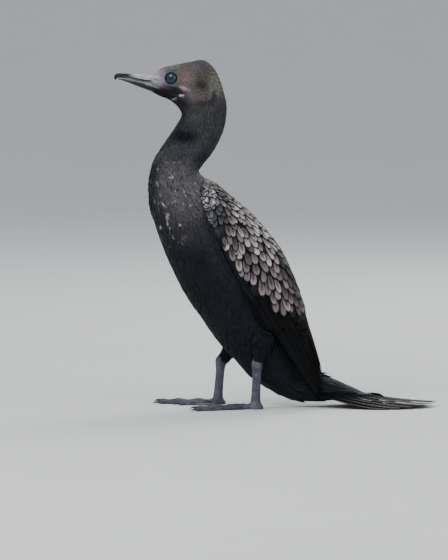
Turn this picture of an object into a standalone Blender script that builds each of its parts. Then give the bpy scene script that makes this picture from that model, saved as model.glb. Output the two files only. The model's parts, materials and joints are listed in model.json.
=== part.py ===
"""A little black cormorant, life size, standing on a level floor as a still museum model.

Sizes are in millimetres and MM turns them into Blender's metres. The bird faces -X, its left side is -Y
and +Z is up. The floor is z = 0. Head, neck and torso are one smooth skin, drawn through elliptical rings
that each run from a point on the bird's back to a point on its front, and parted with thin cuts.
"""

import math
from collections import namedtuple

import bmesh
import bpy
import numpy as np

MM = 0.001
GAP = 0.3  # between nodes that touch
UP = np.array([0.0, 0.0, 1.0])

Ring = namedtuple("Ring", "back front half_width")

BODY_RINGS = {
    "bill_base": Ring((-79.8, 349.0), (-81.9, 331.0), 6.8),
    "lores": Ring((-70.9, 356.5), (-73.5, 326.4), 9.8),
    "eye": Ring((-56.7, 360.0), (-64.6, 322.8), 13.0),
    "cheek": Ring((-41.0, 363.1), (-56.7, 317.0), 16.0),
    "crown": Ring((-27.3, 364.4), (-52.5, 311.3), 17.8),
    "hindcrown": Ring((-15.8, 355.0), (-51.2, 307.7), 18.4),
    "nape": Ring((-8.4, 339.2), (-51.7, 304.5), 18.2),
    "neck_1": Ring((-3.4, 318.2), (-54.6, 299.2), 17.6),
    "neck_2": Ring((-4.2, 300.3), (-60.4, 290.3), 17.6),
    "neck_3": Ring((-8.9, 284.6), (-66.7, 281.4), 18.2),
    "neck_4": Ring((-17.3, 268.3), (-73.2, 271.9), 19.5),
    "neck_5": Ring((-26.2, 256.7), (-79.6, 261.4), 22.0),
    "neck_base": Ring((-31.5, 247.8), (-83.8, 248.9), 26.0),
    "shoulder": Ring((-24.2, 239.4), (-86.2, 234.2), 31.5),
    "breast_1": Ring((-8.4, 227.9), (-85.4, 213.2), 37.5),
    "breast_2": Ring((8.4, 211.1), (-79.6, 192.2), 41.5),
    "belly_1": Ring((25.2, 191.1), (-71.4, 168.0), 43.5),
    "belly_2": Ring((39.9, 168.0), (-61.0, 143.8), 44.0),
    "belly_3": Ring((50.4, 143.8), (-48.8, 119.7), 43.5),
    "belly_4": Ring((58.8, 118.7), (-32.4, 95.5), 42.0),
    "belly_5": Ring((64.0, 93.5), (-15.4, 71.4), 38.5),
    "vent_1": Ring((68.2, 70.4), (2.1, 52.0), 31.5),
    "vent_2": Ring((72.5, 51.5), (21.0, 31.5), 23.5),
    "tail_root": Ring((75.6, 38.9), (48.3, 13.7), 18.0),
}
HEAD_CUT, NECK_CUT, TORSO_CUT = 7.0, 9.7, 12.3  # ring positions of the thin cuts
HALF_CUT = 0.018  # half the width of a thin cut, in ring numbers
LAST_RING = len(BODY_RINGS) - 1.0
HEAD_MESH, NECK_MESH, TORSO_MESH = (18, 22), (6, 22), (22, 24)  # rings along and points round

TAIL_MESH = (9, 16)
TAIL_RINGS = [
    Ring((75.9, 39.1), (48.7, 13.4), 17.8),
    Ring((87.0, 37.0), (66.0, 7.5), 18.2),
    Ring((101.0, 32.5), (88.0, 6.0), 17.8),
    Ring((117.0, 25.5), (110.0, 7.5), 16.5),
    Ring((134.0, 17.5), (131.0, 9.0), 13.0),
    Ring((146.0, 13.0), (145.0, 9.5), 6.0),
]

UPPER_BILL_RINGS = [
    Ring((-80.3, 348.4), (-81.5, 339.6), 6.4),
    Ring((-91.4, 349.2), (-93.5, 341.7), 5.1),
    Ring((-101.9, 350.1), (-104.0, 343.8), 4.2),
    Ring((-111.3, 350.5), (-112.4, 345.6), 3.5),
    Ring((-117.1, 350.5), (-117.4, 345.9), 3.0),
    Ring((-120.4, 349.2), (-119.3, 344.2), 2.2),
    Ring((-121.7, 346.2), (-120.5, 343.3), 0.9),
]
LOWER_BILL_RINGS = [
    Ring((-81.6, 339.0), (-82.5, 331.5), 6.1),
    Ring((-93.5, 341.1), (-94.0, 335.8), 4.7),
    Ring((-104.0, 343.2), (-104.4, 339.9), 3.7),
    Ring((-112.4, 345.0), (-112.7, 342.9), 2.8),
    Ring((-117.4, 345.4), (-117.7, 344.2), 1.7),
]
BILL_GROOVE_DEPTH = 0.16  # share of the half width
BILL_GROOVE_HEIGHT = 0.48  # share of the way from the culmen to the cutting edge
BILL_GROOVE_SPREAD = 0.13
UPPER_BILL_MESH, LOWER_BILL_MESH = (13, 16), (8, 12)
NOSTRIL = (-85.5, 5.6, 344.6)
NOSTRIL_RADII = (2.6, 0.35, 1.4)

EYE = (-61.3, 346.3)
EYE_RADIUS = 6.2
EYE_DEPTH = 4.5
EYE_SINK = 2.6  # centre of the eye below the skin
LID_RADIUS = 5.9
LID_TUBE = 1.0
GAPE_LINE = [(-80.0, 339.4), (-70.9, 334.0), (-60.9, 330.6), (-51.5, 327.6)]
GAPE_DEPTH = 2.0
GAPE_HEIGHT = 0.9
GAPE_REACH = 2.0  # how far the cutter stands out of the skin
GAPE_FADE = 0.55  # share of its depth and height that the groove loses on its way back
GAPE_LEAD = np.array([-3.0, 0.0, 0.6])  # carries the groove's first ring out past the bill's base

WingRow = namedtuple("WingRow", "upper lower upper_y lower_y")

WING_ROWS = [
    WingRow((-27.3, 240.5), (-31.5, 227.9), 13.0, 31.0),
    WingRow((-14.7, 234.2), (-25.2, 212.1), 8.0, 41.5),
    WingRow((2.1, 220.5), (-17.9, 194.2), 4.0, 47.0),
    WingRow((21.0, 204.8), (-9.5, 175.3), 2.0, 50.0),
    WingRow((37.8, 185.8), (-1.1, 157.5), 1.5, 51.0),
    WingRow((53.6, 164.8), (9.5, 137.6), 1.5, 50.5),
    WingRow((65.1, 140.7), (21.0, 115.5), 2.0, 49.0),
    WingRow((74.5, 117.6), (33.6, 91.4), 3.5, 46.0),
    WingRow((81.9, 90.3), (49.4, 67.2), 8.0, 42.0),
    WingRow((88.6, 60.9), (67.2, 41.0), 16.0, 35.0),
    WingRow((98.4, 14.5), (93.0, 5.5), 24.5, 28.5),
]
WING_CORE_END = 0.6
WING_CORE_DEPTH = 13.0
WING_CORE_SINK = 0.8
WING_CORE_TAPER = 0.75  # share of its depth that the core loses at its rear end
WING_CORE_RIM = 0.45  # share of its depth that the core loses at its long edges
WING_CORE_MESH = (9, 7)

# Each tier of wing feathers runs from the back edge (across 0) to the lower edge (across 1), and lies
# from the shoulder (along 0) to the wing tip (along 1).
Tier = namedtuple("Tier", "name count root_along root_across tip_along tip_across width lift stations")

WING_TIERS = [
    Tier("primaries", 4, (0.55, 0.50), (0.55, 0.92), (0.95, 1.00), (0.16, 0.66), 12.5, 0.2, 5),
    Tier("secondaries", 6, (0.50, 0.46), (0.34, 0.95), (0.88, 0.76), (0.24, 0.94), 15.0, 0.9, 5),
    Tier("tertials", 3, (0.42, 0.40), (0.12, 0.34), (0.84, 0.74), (0.15, 0.38), 16.0, 2.2, 5),
    Tier("greater_coverts", 5, (0.40, 0.34), (0.40, 0.92), (0.60, 0.54), (0.46, 0.98), 15.5, 2.2, 4),
    Tier("median_coverts", 6, (0.28, 0.25), (0.26, 0.90), (0.45, 0.42), (0.33, 0.98), 14.5, 2.4, 4),
    Tier("scapulars", 4, (0.27, 0.20), (0.10, 0.36), (0.50, 0.36), (0.12, 0.42), 14.5, 3.2, 4),
    Tier("lesser_coverts_3", 5, (0.17, 0.17), (0.22, 0.90), (0.31, 0.32), (0.29, 0.98), 14.5, 2.6, 4),
    Tier("lesser_coverts_2", 5, (0.09, 0.10), (0.16, 0.88), (0.21, 0.22), (0.20, 0.97), 13.5, 2.6, 4),
    Tier("lesser_coverts_1", 4, (0.02, 0.03), (0.16, 0.86), (0.13, 0.14), (0.18, 0.95), 13.0, 2.6, 4),
]
VANE_ROOT_DEPTH = 2.2
VANE_EDGE = 0.55
VANE_SHAFT = 0.5
VANE_TILT = 0.11
VANE_LEAST_WIDTH = 0.16  # share of the fullest width at root and tip
TIP_STAGGER = 0.008  # in lengths of the wing

TAIL_PAIRS = 6
TAIL_FEATHER_LENGTHS = (140.0, 136.0, 129.0, 119.0, 107.0, 93.0)
TAIL_ROOT_CENTRE = (80.0, 25.0)
TAIL_ROOT_ASIDE = (2.0, 1.6)  # the first pair's distance from the middle, and the step from pair to pair
TAIL_STATIONS = (0.0, 0.28, 0.58, 0.84, 1.0)
TAIL_SLOPE = 1.55  # power of the curve in which a feather comes down to the floor
TAIL_LEAN = (0.10, 0.03)  # how far a feather's face leans back, and outwards for each pair
TAIL_FAN_STEP = 3.7  # degrees from one pair to the next
TAIL_FIRST_YAW = 1.6
TAIL_FEATHER_WIDTH = 14.0
TAIL_STACK = 1.2  # each pair lies this much below the one inside it
TAIL_TIP_HEIGHT = 0.6
TAIL_DOME = 0.9  # step from pair to pair at the tips

Leg = namedtuple("Leg", "name side hip knee heel ankle yaw")

LEGS = [
    Leg("left", -1, (36.0, 86.0, 29.5), (33.5, 66.0, 31.5), (28.4, 47.0, 31.0), (26.8, 8.6, 29.5), 5.0),
    Leg("right", 1, (14.0, 82.0, 27.0), (3.0, 62.0, 30.0), (-9.5, 45.0, 30.0), (-12.6, 8.6, 29.5), 5.0),
]
THIGH_RADII = (13.5, 10.5)
UPPER_THIGH = (0.6, 0.95, 1.0)  # share of the way from hip to knee, and of the two hip radii
KNEE_SHARES = (0.78, 0.85)  # of the two hip radii
LOWER_THIGH = (0.55, 1.12, 1.15)  # share of the way from knee to heel, and of the two heel radii
HEEL_RADII = (6.4, 5.0)
HEEL_OVERLAP = 3.0  # how far above the heel the thigh ends
SHANK_TOP, SHANK_HEEL = (0.94, 0.94), (0.92, 0.9)  # shares of the two heel radii
HEEL_DROP = 2.0
SHANK_STRAIGHT = (0.25, 0.75)  # shares of the way from heel to ankle where the shank is slimmest
SHANK_RADII = (4.7, 3.3)
ANKLE_RADII = (5.2, 4.4)
FOOT_TOP = 8.3
FOOT_BLOCK_RADII = (8.2, 8.4, 7.4, 6.0, 5.0)  # from the floor up
FOOT_BLOCK_WIDTH = 0.82  # share of the length of the block under the ankle

Toe = namedtuple("Toe", "name angle length radius claw")

TOES = [
    Toe("outer", 19.0, 68.0, 3.3, 6.0),
    Toe("middle", -3.0, 62.0, 3.4, 7.5),
    Toe("inner", -27.0, 43.0, 3.2, 7.0),
    Toe("hind", -78.0, 24.0, 2.8, 7.0),
]
TOE_STATIONS = (-0.06, 0.12, 0.33, 0.52, 0.7, 0.93, 1.0)
TOE_TAPER = 0.42
TOE_END = 0.6  # share of the radius at both ends
KNUCKLE, KNUCKLE_WAVES = 0.16, 6
TOE_HEIGHT = 0.82  # height of a toe's middle, in radii
INSTEP_LENGTH, INSTEP_SLOPE = 0.25, 4.8  # the share of a toe that rises to the ankle, and how steeply
CLAW_RINGS = ((-0.35, 1.3), (0.0, 1.45), (0.5, 1.0), (1.0, 0.3))  # share of the claw's length, and radius
CLAW_WIDTH = 0.8  # share of a claw's height
CLAW_SIDES = 5
CLAW_ROOT_HEIGHT, CLAW_ARCH, CLAW_DROP = 1.9, 1.3, 2.2
WEB_TOP, WEB_SAG = 1.7, 0.14
WEB_REACH, WEB_ROOT, WEB_ROOT_RISE = 0.97, 0.06, 0.4

BLACK = (0.022, 0.023, 0.026)
BROWN = (0.06, 0.052, 0.047)
SCALY = (0.24, 0.22, 0.205)
SLATE = (0.055, 0.058, 0.072)
HORN = (0.10, 0.098, 0.105)
TEAL = (0.01, 0.16, 0.15)


def spline(rows, at):
    """A Catmull-Rom curve through rows of numbers, read at a real row number."""
    rows = np.asarray(rows, float)
    last = len(rows) - 1
    at = min(max(at, 0.0), float(last))
    i = min(int(at), last - 1)
    t = at - i
    p0, p1, p2, p3 = (rows[min(max(k, 0), last)] for k in (i - 1, i, i + 1, i + 2))
    return 0.5 * (
        2 * p1 + (p2 - p0) * t + (2 * p0 - 5 * p1 + 4 * p2 - p3) * t**2 + (3 * p1 - p0 - 3 * p2 + p3) * t**3
    )


def ring_at(rings, at):
    """The interpolated back point, front point and half width at a real ring number."""
    rows = [(*ring.back, *ring.front, ring.half_width) for ring in rings]
    values = spline(rows, at)
    return values[0:2], values[2:4], values[4]


def ring_points(back, front, half_width, sides, groove=0.0, grow=0.0):
    """One elliptical ring of points, from the back round the left side to the front and home."""
    across = front - back
    span = np.linalg.norm(across)
    middle, unit = (back + front) / 2, across / span
    points = []
    for k in range(sides):
        angle = 2 * math.pi * k / sides
        height = (1 - math.cos(angle)) / 2
        notch = 1 - groove * math.exp(-(((height - BILL_GROOVE_HEIGHT) / BILL_GROOVE_SPREAD) ** 2))
        x, z = middle - unit * math.cos(angle) * (span / 2 + grow)
        points.append((x, -(half_width * notch + grow) * math.sin(angle), z))
    return np.array(points)


def skin_at(x, z):
    """The left side of the body skin at a place in the side view: its point and outward direction."""
    rings = list(BODY_RINGS.values())

    def beside(at):
        back, front, _ = ring_at(rings, at)
        across = front - back
        return across[0] * (z - back[1]) - across[1] * (x - back[0])

    grid = np.linspace(0.0, len(rings) - 1.0, 240)
    best = min(grid, key=lambda at: abs(beside(at)) + 1e3 * (not inside_span(rings, at, x, z)))
    return surface_point(rings, best, x, z)


def inside_span(rings, at, x, z):
    """Whether a place in the side view lies between a ring's back and front."""
    back, front, _ = ring_at(rings, at)
    across = front - back
    share = np.dot((x, z) - back, across) / np.dot(across, across)
    return 0.02 < share < 0.98


def surface_point(rings, at, x, z):
    """The place and outward direction of the left side where a ring passes a place in the side view."""

    def point(ring_number, share):
        back, front, half_width = ring_at(rings, ring_number)
        place = back + (front - back) * share
        return np.array([place[0], -half_width * math.sqrt(max(0.0, 1 - (2 * share - 1) ** 2)), place[1]])

    back, front, _ = ring_at(rings, at)
    across = front - back
    share = float(np.dot((x, z) - back, across) / np.dot(across, across))
    step = 0.02
    along = point(at + step, share) - point(at - step, share)
    down = point(at, share + step) - point(at, share - step)
    outward = np.cross(down, along)
    return point(at, share), outward / np.linalg.norm(outward)


def new_object(name, points, faces, colour=None, roughness=0.6):
    """A closed mesh object from points in millimetres, with its faces turned outwards."""
    mesh = bpy.data.meshes.new(name)
    mesh.from_pydata([tuple(float(c) * MM for c in p) for p in points], [], [tuple(f) for f in faces])
    shape = bmesh.new()
    shape.from_mesh(mesh)
    bmesh.ops.recalc_face_normals(shape, faces=shape.faces)
    bmesh.ops.triangulate(shape, faces=shape.faces, quad_method="FIXED")
    shape.to_mesh(mesh)
    shape.free()
    made = bpy.data.objects.new(name, mesh)
    bpy.context.scene.collection.objects.link(made)
    if colour is not None:
        paint(made, colour, roughness)
    return made


def paint(made, colour, roughness):
    """Gives an object one plain material, and sharp edges where its faces turn by more than 42 degrees."""
    material = bpy.data.materials.new(made.name)
    material.use_nodes = True
    shader = material.node_tree.nodes["Principled BSDF"]
    shader.inputs["Base Color"].default_value = (*colour, 1.0)
    shader.inputs["Roughness"].default_value = roughness
    shader.inputs["Metallic"].default_value = 0.0
    made.data.materials.clear()
    made.data.materials.append(material)
    made.data.shade_smooth()
    made.data.set_sharp_from_angle(angle=math.radians(42))


def tube(rings):
    """Points and faces of a closed tube through rings of points, with a fan over each end."""
    sides = len(rings[0])
    points = [p for ring in rings for p in ring]
    points += [np.mean(rings[0], axis=0), np.mean(rings[-1], axis=0)]
    faces = []
    for i in range(len(rings) - 1):
        for k in range(sides):
            a, b = i * sides + k, i * sides + (k + 1) % sides
            faces.append((a, b, b + sides, a + sides))
    first, last, end = len(points) - 2, len(points) - 1, (len(rings) - 1) * sides
    for k in range(sides):
        faces.append((first, (k + 1) % sides, k))
        faces.append((last, end + k, end + (k + 1) % sides))
    return points, faces


def skin_tube(rings, start, end, steps, sides, groove=0.0, grow=0.0):
    """The tube of skin between two ring numbers."""
    cuts = [ring_at(rings, at) for at in np.linspace(start, end, steps)]
    return tube([ring_points(*cut, sides, groove, grow) for cut in cuts])


def ball(centre, axes, radii, rings=8, sides=14):
    """An ellipsoid: axes are three unit vectors, the poles lie on the last."""
    points = [centre + axes[2] * radii[2]]
    for i in range(1, rings):
        tall = math.pi * i / rings
        for k in range(sides):
            turn = 2 * math.pi * k / sides
            flat = math.sin(tall) * (
                axes[0] * radii[0] * math.cos(turn) + axes[1] * radii[1] * math.sin(turn)
            )
            points.append(centre + flat + axes[2] * radii[2] * math.cos(tall))
    points.append(centre - axes[2] * radii[2])
    faces = []
    for k in range(sides):
        following = (k + 1) % sides
        faces.append((0, 1 + k, 1 + following))
        for i in range(rings - 2):
            a, b = 1 + i * sides + k, 1 + i * sides + following
            faces.append((a, a + sides, b + sides, b))
        low = 1 + (rings - 2) * sides
        faces.append((low + k, len(points) - 1, low + following))
    return points, faces


def hoop(centre, axes, radius, thickness, around=16, sides=5):
    """A torus round the last axis."""
    points, faces = [], []
    for i in range(around):
        turn = 2 * math.pi * i / around
        out = axes[0] * math.cos(turn) + axes[1] * math.sin(turn)
        for k in range(sides):
            roll = 2 * math.pi * k / sides
            off = out * math.cos(roll) + axes[2] * math.sin(roll)
            points.append(centre + out * radius + off * thickness)
    for i in range(around):
        for k in range(sides):
            j, m = (i + 1) % around, (k + 1) % sides
            faces.append((i * sides + k, j * sides + k, j * sides + m, i * sides + m))
    return points, faces


def axes_from(outward):
    """Three unit vectors, the last of them outward."""
    outward = outward / np.linalg.norm(outward)
    first = np.cross(UP, outward)
    first /= np.linalg.norm(first)
    return first, np.cross(outward, first), outward


def vane(path, normals, half_widths, edge, shaft, tilt=0.0):
    """A feather: a thin strip three points wide along a path, raised at its shaft.

    Both faces are split into triangles alike, so that a curved vane's faces can't cross.
    """
    path, normals = np.asarray(path, float), np.asarray(normals, float)
    count = len(path)
    top, low = [], []
    for j in range(count):
        ahead = path[min(j + 1, count - 1)] - path[max(j - 1, 0)]
        side = np.cross(normals[j], ahead)
        side /= np.linalg.norm(side)
        up = np.cross(ahead, side)
        up /= np.linalg.norm(up)
        for k in (-1, 0, 1):
            place = path[j] + side * k * half_widths[j] - up * tilt * k * half_widths[j]
            thick = edge + (shaft if k == 0 else 0.0)
            top.append(place + up * thick)
            low.append(place)
    points = top + low
    n = len(top)
    faces = []
    for j in range(count - 1):
        for k in (0, 1):
            a, b, c, d = 3 * j + k, 3 * j + k + 3, 3 * j + k + 4, 3 * j + k + 1
            faces += [(a, b, c), (a, c, d), (a + n, c + n, b + n), (a + n, d + n, c + n)]
    for j in range(count - 1):
        for k in (0, 2):
            a, b = 3 * j + k, 3 * j + k + 3
            faces += [(a, a + n, b + n), (a, b + n, b)] if k == 0 else [(a, b + n, a + n), (a, b, b + n)]
    for j, order in ((0, 1), (count - 1, -1)):
        for k in (0, 1):
            a, b = 3 * j + k, 3 * j + k + 1
            quad = [(a, b, b + n), (a, b + n, a + n)]
            faces += [face[::order] for face in quad]
    return points, faces


def slab(upper, lower, thick):
    """A plate between two rows of points, thick downwards."""
    count = len(upper)
    grid = [*upper, *lower]
    points = [np.asarray(p, float) for p in grid] + [np.asarray(p, float) - UP * thick for p in grid]
    n = 2 * count
    faces = []
    for j in range(count - 1):
        a, b, c, d = j, j + 1, count + j + 1, count + j
        faces += [(a, b, c), (a, c, d), (a + n, c + n, b + n), (a + n, d + n, c + n)]
        faces += [(a, a + n, b + n), (a, b + n, b), (d, c, c + n), (d, c + n, d + n)]
    for a, b in ((0, count), (count - 1, 2 * count - 1)):
        faces += [(a, b, b + n), (a, b + n, a + n)]
    return points, faces


def mirrored(shape):
    """A shape on the bird's other side."""
    points, faces = shape
    return [np.array([p[0], -p[1], p[2]]) for p in points], [tuple(reversed(f)) for f in faces]


def with_boolean(made, shapes, operation):
    """Applies one Boolean of a whole collection of closed shapes, then removes the collection."""
    helpers = bpy.data.collections.new(made.name + "_helpers")
    bpy.context.scene.collection.children.link(helpers)
    for number, (points, faces) in enumerate(shapes):
        helper = new_object(f"{made.name}_helper_{number}", points, faces)
        bpy.context.scene.collection.objects.unlink(helper)
        helpers.objects.link(helper)
    modifier = made.modifiers.new(operation.lower(), "BOOLEAN")
    modifier.operation = operation
    modifier.operand_type = "COLLECTION"
    modifier.collection = helpers
    bpy.context.view_layer.update()
    result = bpy.data.meshes.new_from_object(made.evaluated_get(bpy.context.evaluated_depsgraph_get()))
    made.modifiers.clear()
    made.data = result
    for helper in list(helpers.objects):
        bpy.data.objects.remove(helper)
    bpy.data.collections.remove(helpers)


def keep_largest(made):
    """Keeps the largest closed surface of a mesh."""
    shape = bmesh.new()
    shape.from_mesh(made.data)
    left, groups = set(shape.faces), []
    while left:
        group, border = set(), [left.pop()]
        while border:
            face = border.pop()
            group.add(face)
            for edge in face.edges:
                found = [f for f in edge.link_faces if f in left]
                left.difference_update(found)
                border.extend(found)
        groups.append(group)
    groups.sort(key=lambda group: sum(face.calc_area() for face in group))
    dropped = [face for group in groups[:-1] for face in group]
    bmesh.ops.delete(shape, geom=dropped, context="FACES")
    bmesh.ops.triangulate(shape, faces=shape.faces)
    shape.to_mesh(made.data)
    shape.free()


def build(name, base, joined, cut, colour, roughness=0.6):
    """A node: a base shape, with shapes joined to it and then shapes cut from it."""
    made = new_object(name, *base)
    if joined:
        with_boolean(made, joined, "UNION")
    if cut:
        with_boolean(made, cut, "DIFFERENCE")
    keep_largest(made)
    paint(made, colour, roughness)
    return made


def torso_cutter():
    """The torso, grown by the gap between nodes."""
    return skin_tube(list(BODY_RINGS.values()), TORSO_CUT, LAST_RING, *TORSO_MESH, grow=GAP)


def build_skin():
    """Head, neck and torso."""
    rings = list(BODY_RINGS.values())
    build_head(rings, HEAD_CUT - HALF_CUT)
    for name, start, end, mesh in (
        ("neck_upper", HEAD_CUT, NECK_CUT, NECK_MESH),
        ("neck_lower", NECK_CUT, TORSO_CUT, NECK_MESH),
        ("torso", TORSO_CUT, LAST_RING + HALF_CUT, TORSO_MESH),
    ):
        build(name, skin_tube(rings, start + HALF_CUT, end - HALF_CUT, *mesh), [], [], BLACK, 0.7)


def build_head(rings, end):
    """The head with raised lids, eye sockets and the line of the gape."""
    at_eye, outward = skin_at(*EYE)
    axes = axes_from(outward)
    lid = hoop(at_eye, axes, LID_RADIUS, LID_TUBE)
    centre = at_eye - outward * EYE_SINK
    radii = (EYE_RADIUS, EYE_RADIUS, EYE_DEPTH)
    socket = ball(centre, axes, [r + GAP for r in radii])
    groove = gape_groove()
    joined = [lid, mirrored(lid)]
    cut = [socket, mirrored(socket), groove, mirrored(groove)]
    build("head", skin_tube(rings, 0.0, end, *HEAD_MESH), joined, cut, BROWN, 0.75)
    build("eye_left", ball(centre, axes, radii), [], [], TEAL, 0.1)
    build("eye_right", mirrored(ball(centre, axes, radii)), [], [], TEAL, 0.1)


def gape_groove():
    """A wedge that follows the mouth from the bill to behind the eye, deepest at the bill."""
    rings = []
    for number, (x, z) in enumerate(GAPE_LINE):
        place, outward = skin_at(x, z)
        fade = 1 - GAPE_FADE * number / (len(GAPE_LINE) - 1)
        outer, inner = place + outward * GAPE_REACH, place - outward * GAPE_DEPTH * fade
        tall = UP * GAPE_HEIGHT * fade
        rings.append(np.array([outer + tall, inner + tall / 4, inner - tall / 4, outer - tall]))
    rings[0] = rings[0] + GAPE_LEAD
    return tube(rings)


def build_bill():
    """The upper bill with its side grooves and slit nostrils, and the lower bill under it."""
    upper = skin_tube(UPPER_BILL_RINGS, 0.0, len(UPPER_BILL_RINGS) - 1.0, *UPPER_BILL_MESH, BILL_GROOVE_DEPTH)
    lower = skin_tube(LOWER_BILL_RINGS, 0.0, len(LOWER_BILL_RINGS) - 1.0, *LOWER_BILL_MESH)
    x, y, z = NOSTRIL
    slit_axes = (np.array([1.0, 0, 0]), np.array([0, 0, 1.0]), np.array([0, -1.0, 0]))
    slit = ball(np.array([x, -y, z]), slit_axes, NOSTRIL_RADII, 6, 10)
    build("bill_upper", upper, [], [slit, mirrored(slit)], HORN, 0.35)
    build("bill_lower", lower, [], [], HORN, 0.35)


def wing_point(along, across):
    """A point on the outer surface of the folded left wing."""
    rows = [(*row.upper, *row.lower, row.upper_y, row.lower_y) for row in WING_ROWS]
    ux, uz, lx, lz, upper_y, lower_y = spline(rows, along * (len(WING_ROWS) - 1))
    angle = across * math.pi / 2
    share = 1 - math.cos(angle)
    return np.array([
        ux + (lx - ux) * share,
        -(upper_y + (lower_y - upper_y) * math.sin(angle)),
        uz + (lz - uz) * share,
    ])


def wing_normal(along, across):
    """The outward direction of the folded left wing's surface."""
    step = 0.01
    low, high = max(across - step, 0.0), min(across + step, 1.0)
    down = wing_point(along, high) - wing_point(along, low)
    back = wing_point(min(along + step, 1.0), across) - wing_point(max(along - step, 0.0), across)
    outward = np.cross(down, back)
    return outward / np.linalg.norm(outward)


def wing_core():
    """The flesh and the bedded roots of the folded wing, later cut back to the torso's side."""
    along_steps, across_steps = WING_CORE_MESH
    outer, inner = [], []
    for way in np.linspace(0.0, 1.0, along_steps):
        along, fade = WING_CORE_END * way, 1 - WING_CORE_TAPER * way**4
        for across in np.linspace(0.02, 0.98, across_steps):
            edge = 1 - WING_CORE_RIM * abs((across - 0.5) / 0.48) ** 3
            point, normal = wing_point(along, across), wing_normal(along, across)
            outer.append(point - normal * WING_CORE_SINK)
            inner.append(point - normal * (WING_CORE_SINK + WING_CORE_DEPTH * fade * edge))
    points, n = outer + inner, len(outer)
    faces = []
    for i in range(along_steps - 1):
        for k in range(across_steps - 1):
            a = i * across_steps + k
            b, c, d = a + across_steps, a + across_steps + 1, a + 1
            faces += [(a, b, c), (a, c, d), (a + n, c + n, b + n), (a + n, d + n, c + n)]
    border = list(range(across_steps))
    border += [i * across_steps + across_steps - 1 for i in range(1, along_steps)]
    border += [(along_steps - 1) * across_steps + k for k in range(across_steps - 2, -1, -1)]
    border += [i * across_steps for i in range(along_steps - 2, 0, -1)]
    for a, b in zip(border, border[1:] + border[:1]):
        faces += [(a, b, b + n), (a, b + n, a + n)]
    return points, faces


def wing_vane(tier, number):
    """One feather of a tier, lying on the wing with its root sunk and its tip lifted."""
    share = number / (tier.count - 1)
    stagger = TIP_STAGGER * math.sin(2.4 * number + len(tier.name))

    def between(pair):
        return pair[0] + (pair[1] - pair[0]) * share

    root = np.array([between(tier.root_along), between(tier.root_across)])
    tip = np.array([between(tier.tip_along) + stagger, between(tier.tip_across)])
    path, normals, widths = [], [], []
    for t in np.linspace(0, 1, tier.stations):
        along, across = root + (tip - root) * t
        normal = wing_normal(min(along, 1.0), across)
        height = -VANE_ROOT_DEPTH * (1 - t) ** 2 + tier.lift * (0.25 + 0.75 * t) * min(1.0, 3 * t)
        path.append(wing_point(min(along, 1.0), across) + normal * height)
        normals.append(normal)
        widths.append(tier.width / 2 * feather_outline(t))
    return vane(path, normals, widths, VANE_EDGE, VANE_SHAFT, VANE_TILT)


def feather_outline(t):
    """A feather's width along its length: narrow at the root, fullest past the middle, round at the tip."""
    swell, rounding = 0.55 + 0.62 * t - 0.17 * t * t, math.sqrt(max(0.0, 1 - t**7))
    return max(VANE_LEAST_WIDTH, swell * rounding)


def build_wings():
    """Both folded wings, cut clear of the torso and of each other."""
    vanes = [wing_vane(tier, number) for tier in WING_TIERS for number in range(tier.count)]
    half_space = box((-200.0, -GAP / 2, -50.0), (300.0, 200.0, 400.0))
    core = wing_core()
    cut = [torso_cutter(), half_space]
    build("wing_left", core, vanes, cut, SCALY)
    build("wing_right", mirrored(core), [mirrored(v) for v in vanes], [mirrored(c) for c in cut], SCALY)


def box(low, high):
    """A box from its lowest to its highest corner."""
    spans = list(zip(low, high))
    points = [np.array([x, y, z]) for x in spans[0] for y in spans[1] for z in spans[2]]
    faces = [(0, 1, 3, 2), (4, 6, 7, 5), (0, 4, 5, 1), (2, 3, 7, 6), (0, 2, 6, 4), (1, 5, 7, 3)]
    return points, faces


def tail_vane(pair, side):
    """A tail feather: from the root it slopes to the floor and lies on it."""
    length = TAIL_FEATHER_LENGTHS[pair]
    yaw = math.radians(TAIL_FIRST_YAW + TAIL_FAN_STEP * pair) * side
    aside = TAIL_ROOT_ASIDE[0] + TAIL_ROOT_ASIDE[1] * pair
    root = np.array([TAIL_ROOT_CENTRE[0], side * aside, TAIL_ROOT_CENTRE[1] - TAIL_STACK * pair])
    heading = np.array([math.cos(yaw), math.sin(yaw), 0.0])
    lowest = TAIL_TIP_HEIGHT + TAIL_DOME * (TAIL_PAIRS - 1 - pair)
    path, normals, widths = [], [], []
    for t in TAIL_STATIONS:
        place = root + heading * length * t
        place[2] = lowest + (root[2] - lowest) * (1 - t) ** TAIL_SLOPE
        path.append(place)
        normals.append(np.array([TAIL_LEAN[0], TAIL_LEAN[1] * pair * side, 1.0]))
        widths.append(TAIL_FEATHER_WIDTH / 2 * feather_outline(t))
    points, faces = vane(path, normals, widths, VANE_EDGE + 0.1, VANE_SHAFT)
    return [np.array([p[0], p[1], max(p[2], 0.0)]) for p in points], faces


def build_tail():
    """The feathered root of the tail, with its twelve stiff feathers."""
    core = skin_tube(TAIL_RINGS, 0.0, len(TAIL_RINGS) - 1.0, *TAIL_MESH)
    vanes = [tail_vane(pair, side) for pair in range(TAIL_PAIRS) for side in (-1, 1)]
    build("tail", core, vanes, [], BLACK, 0.55)


def round_ring(centre, ahead, radii, shares=(1.0, 1.0), sides=12):
    """An elliptical ring square to a leg's line, with one radius fore and aft and one from side to side."""
    deep, wide = radii[0] * shares[0], radii[1] * shares[1]
    ahead = ahead / np.linalg.norm(ahead)
    side = np.array([0.0, 1.0, 0.0])
    fore = np.cross(side, ahead)
    fore /= np.linalg.norm(fore)
    turns = [2 * math.pi * k / sides for k in range(sides)]
    return np.array([centre + fore * deep * math.cos(t) + side * wide * math.sin(t) for t in turns])


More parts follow.
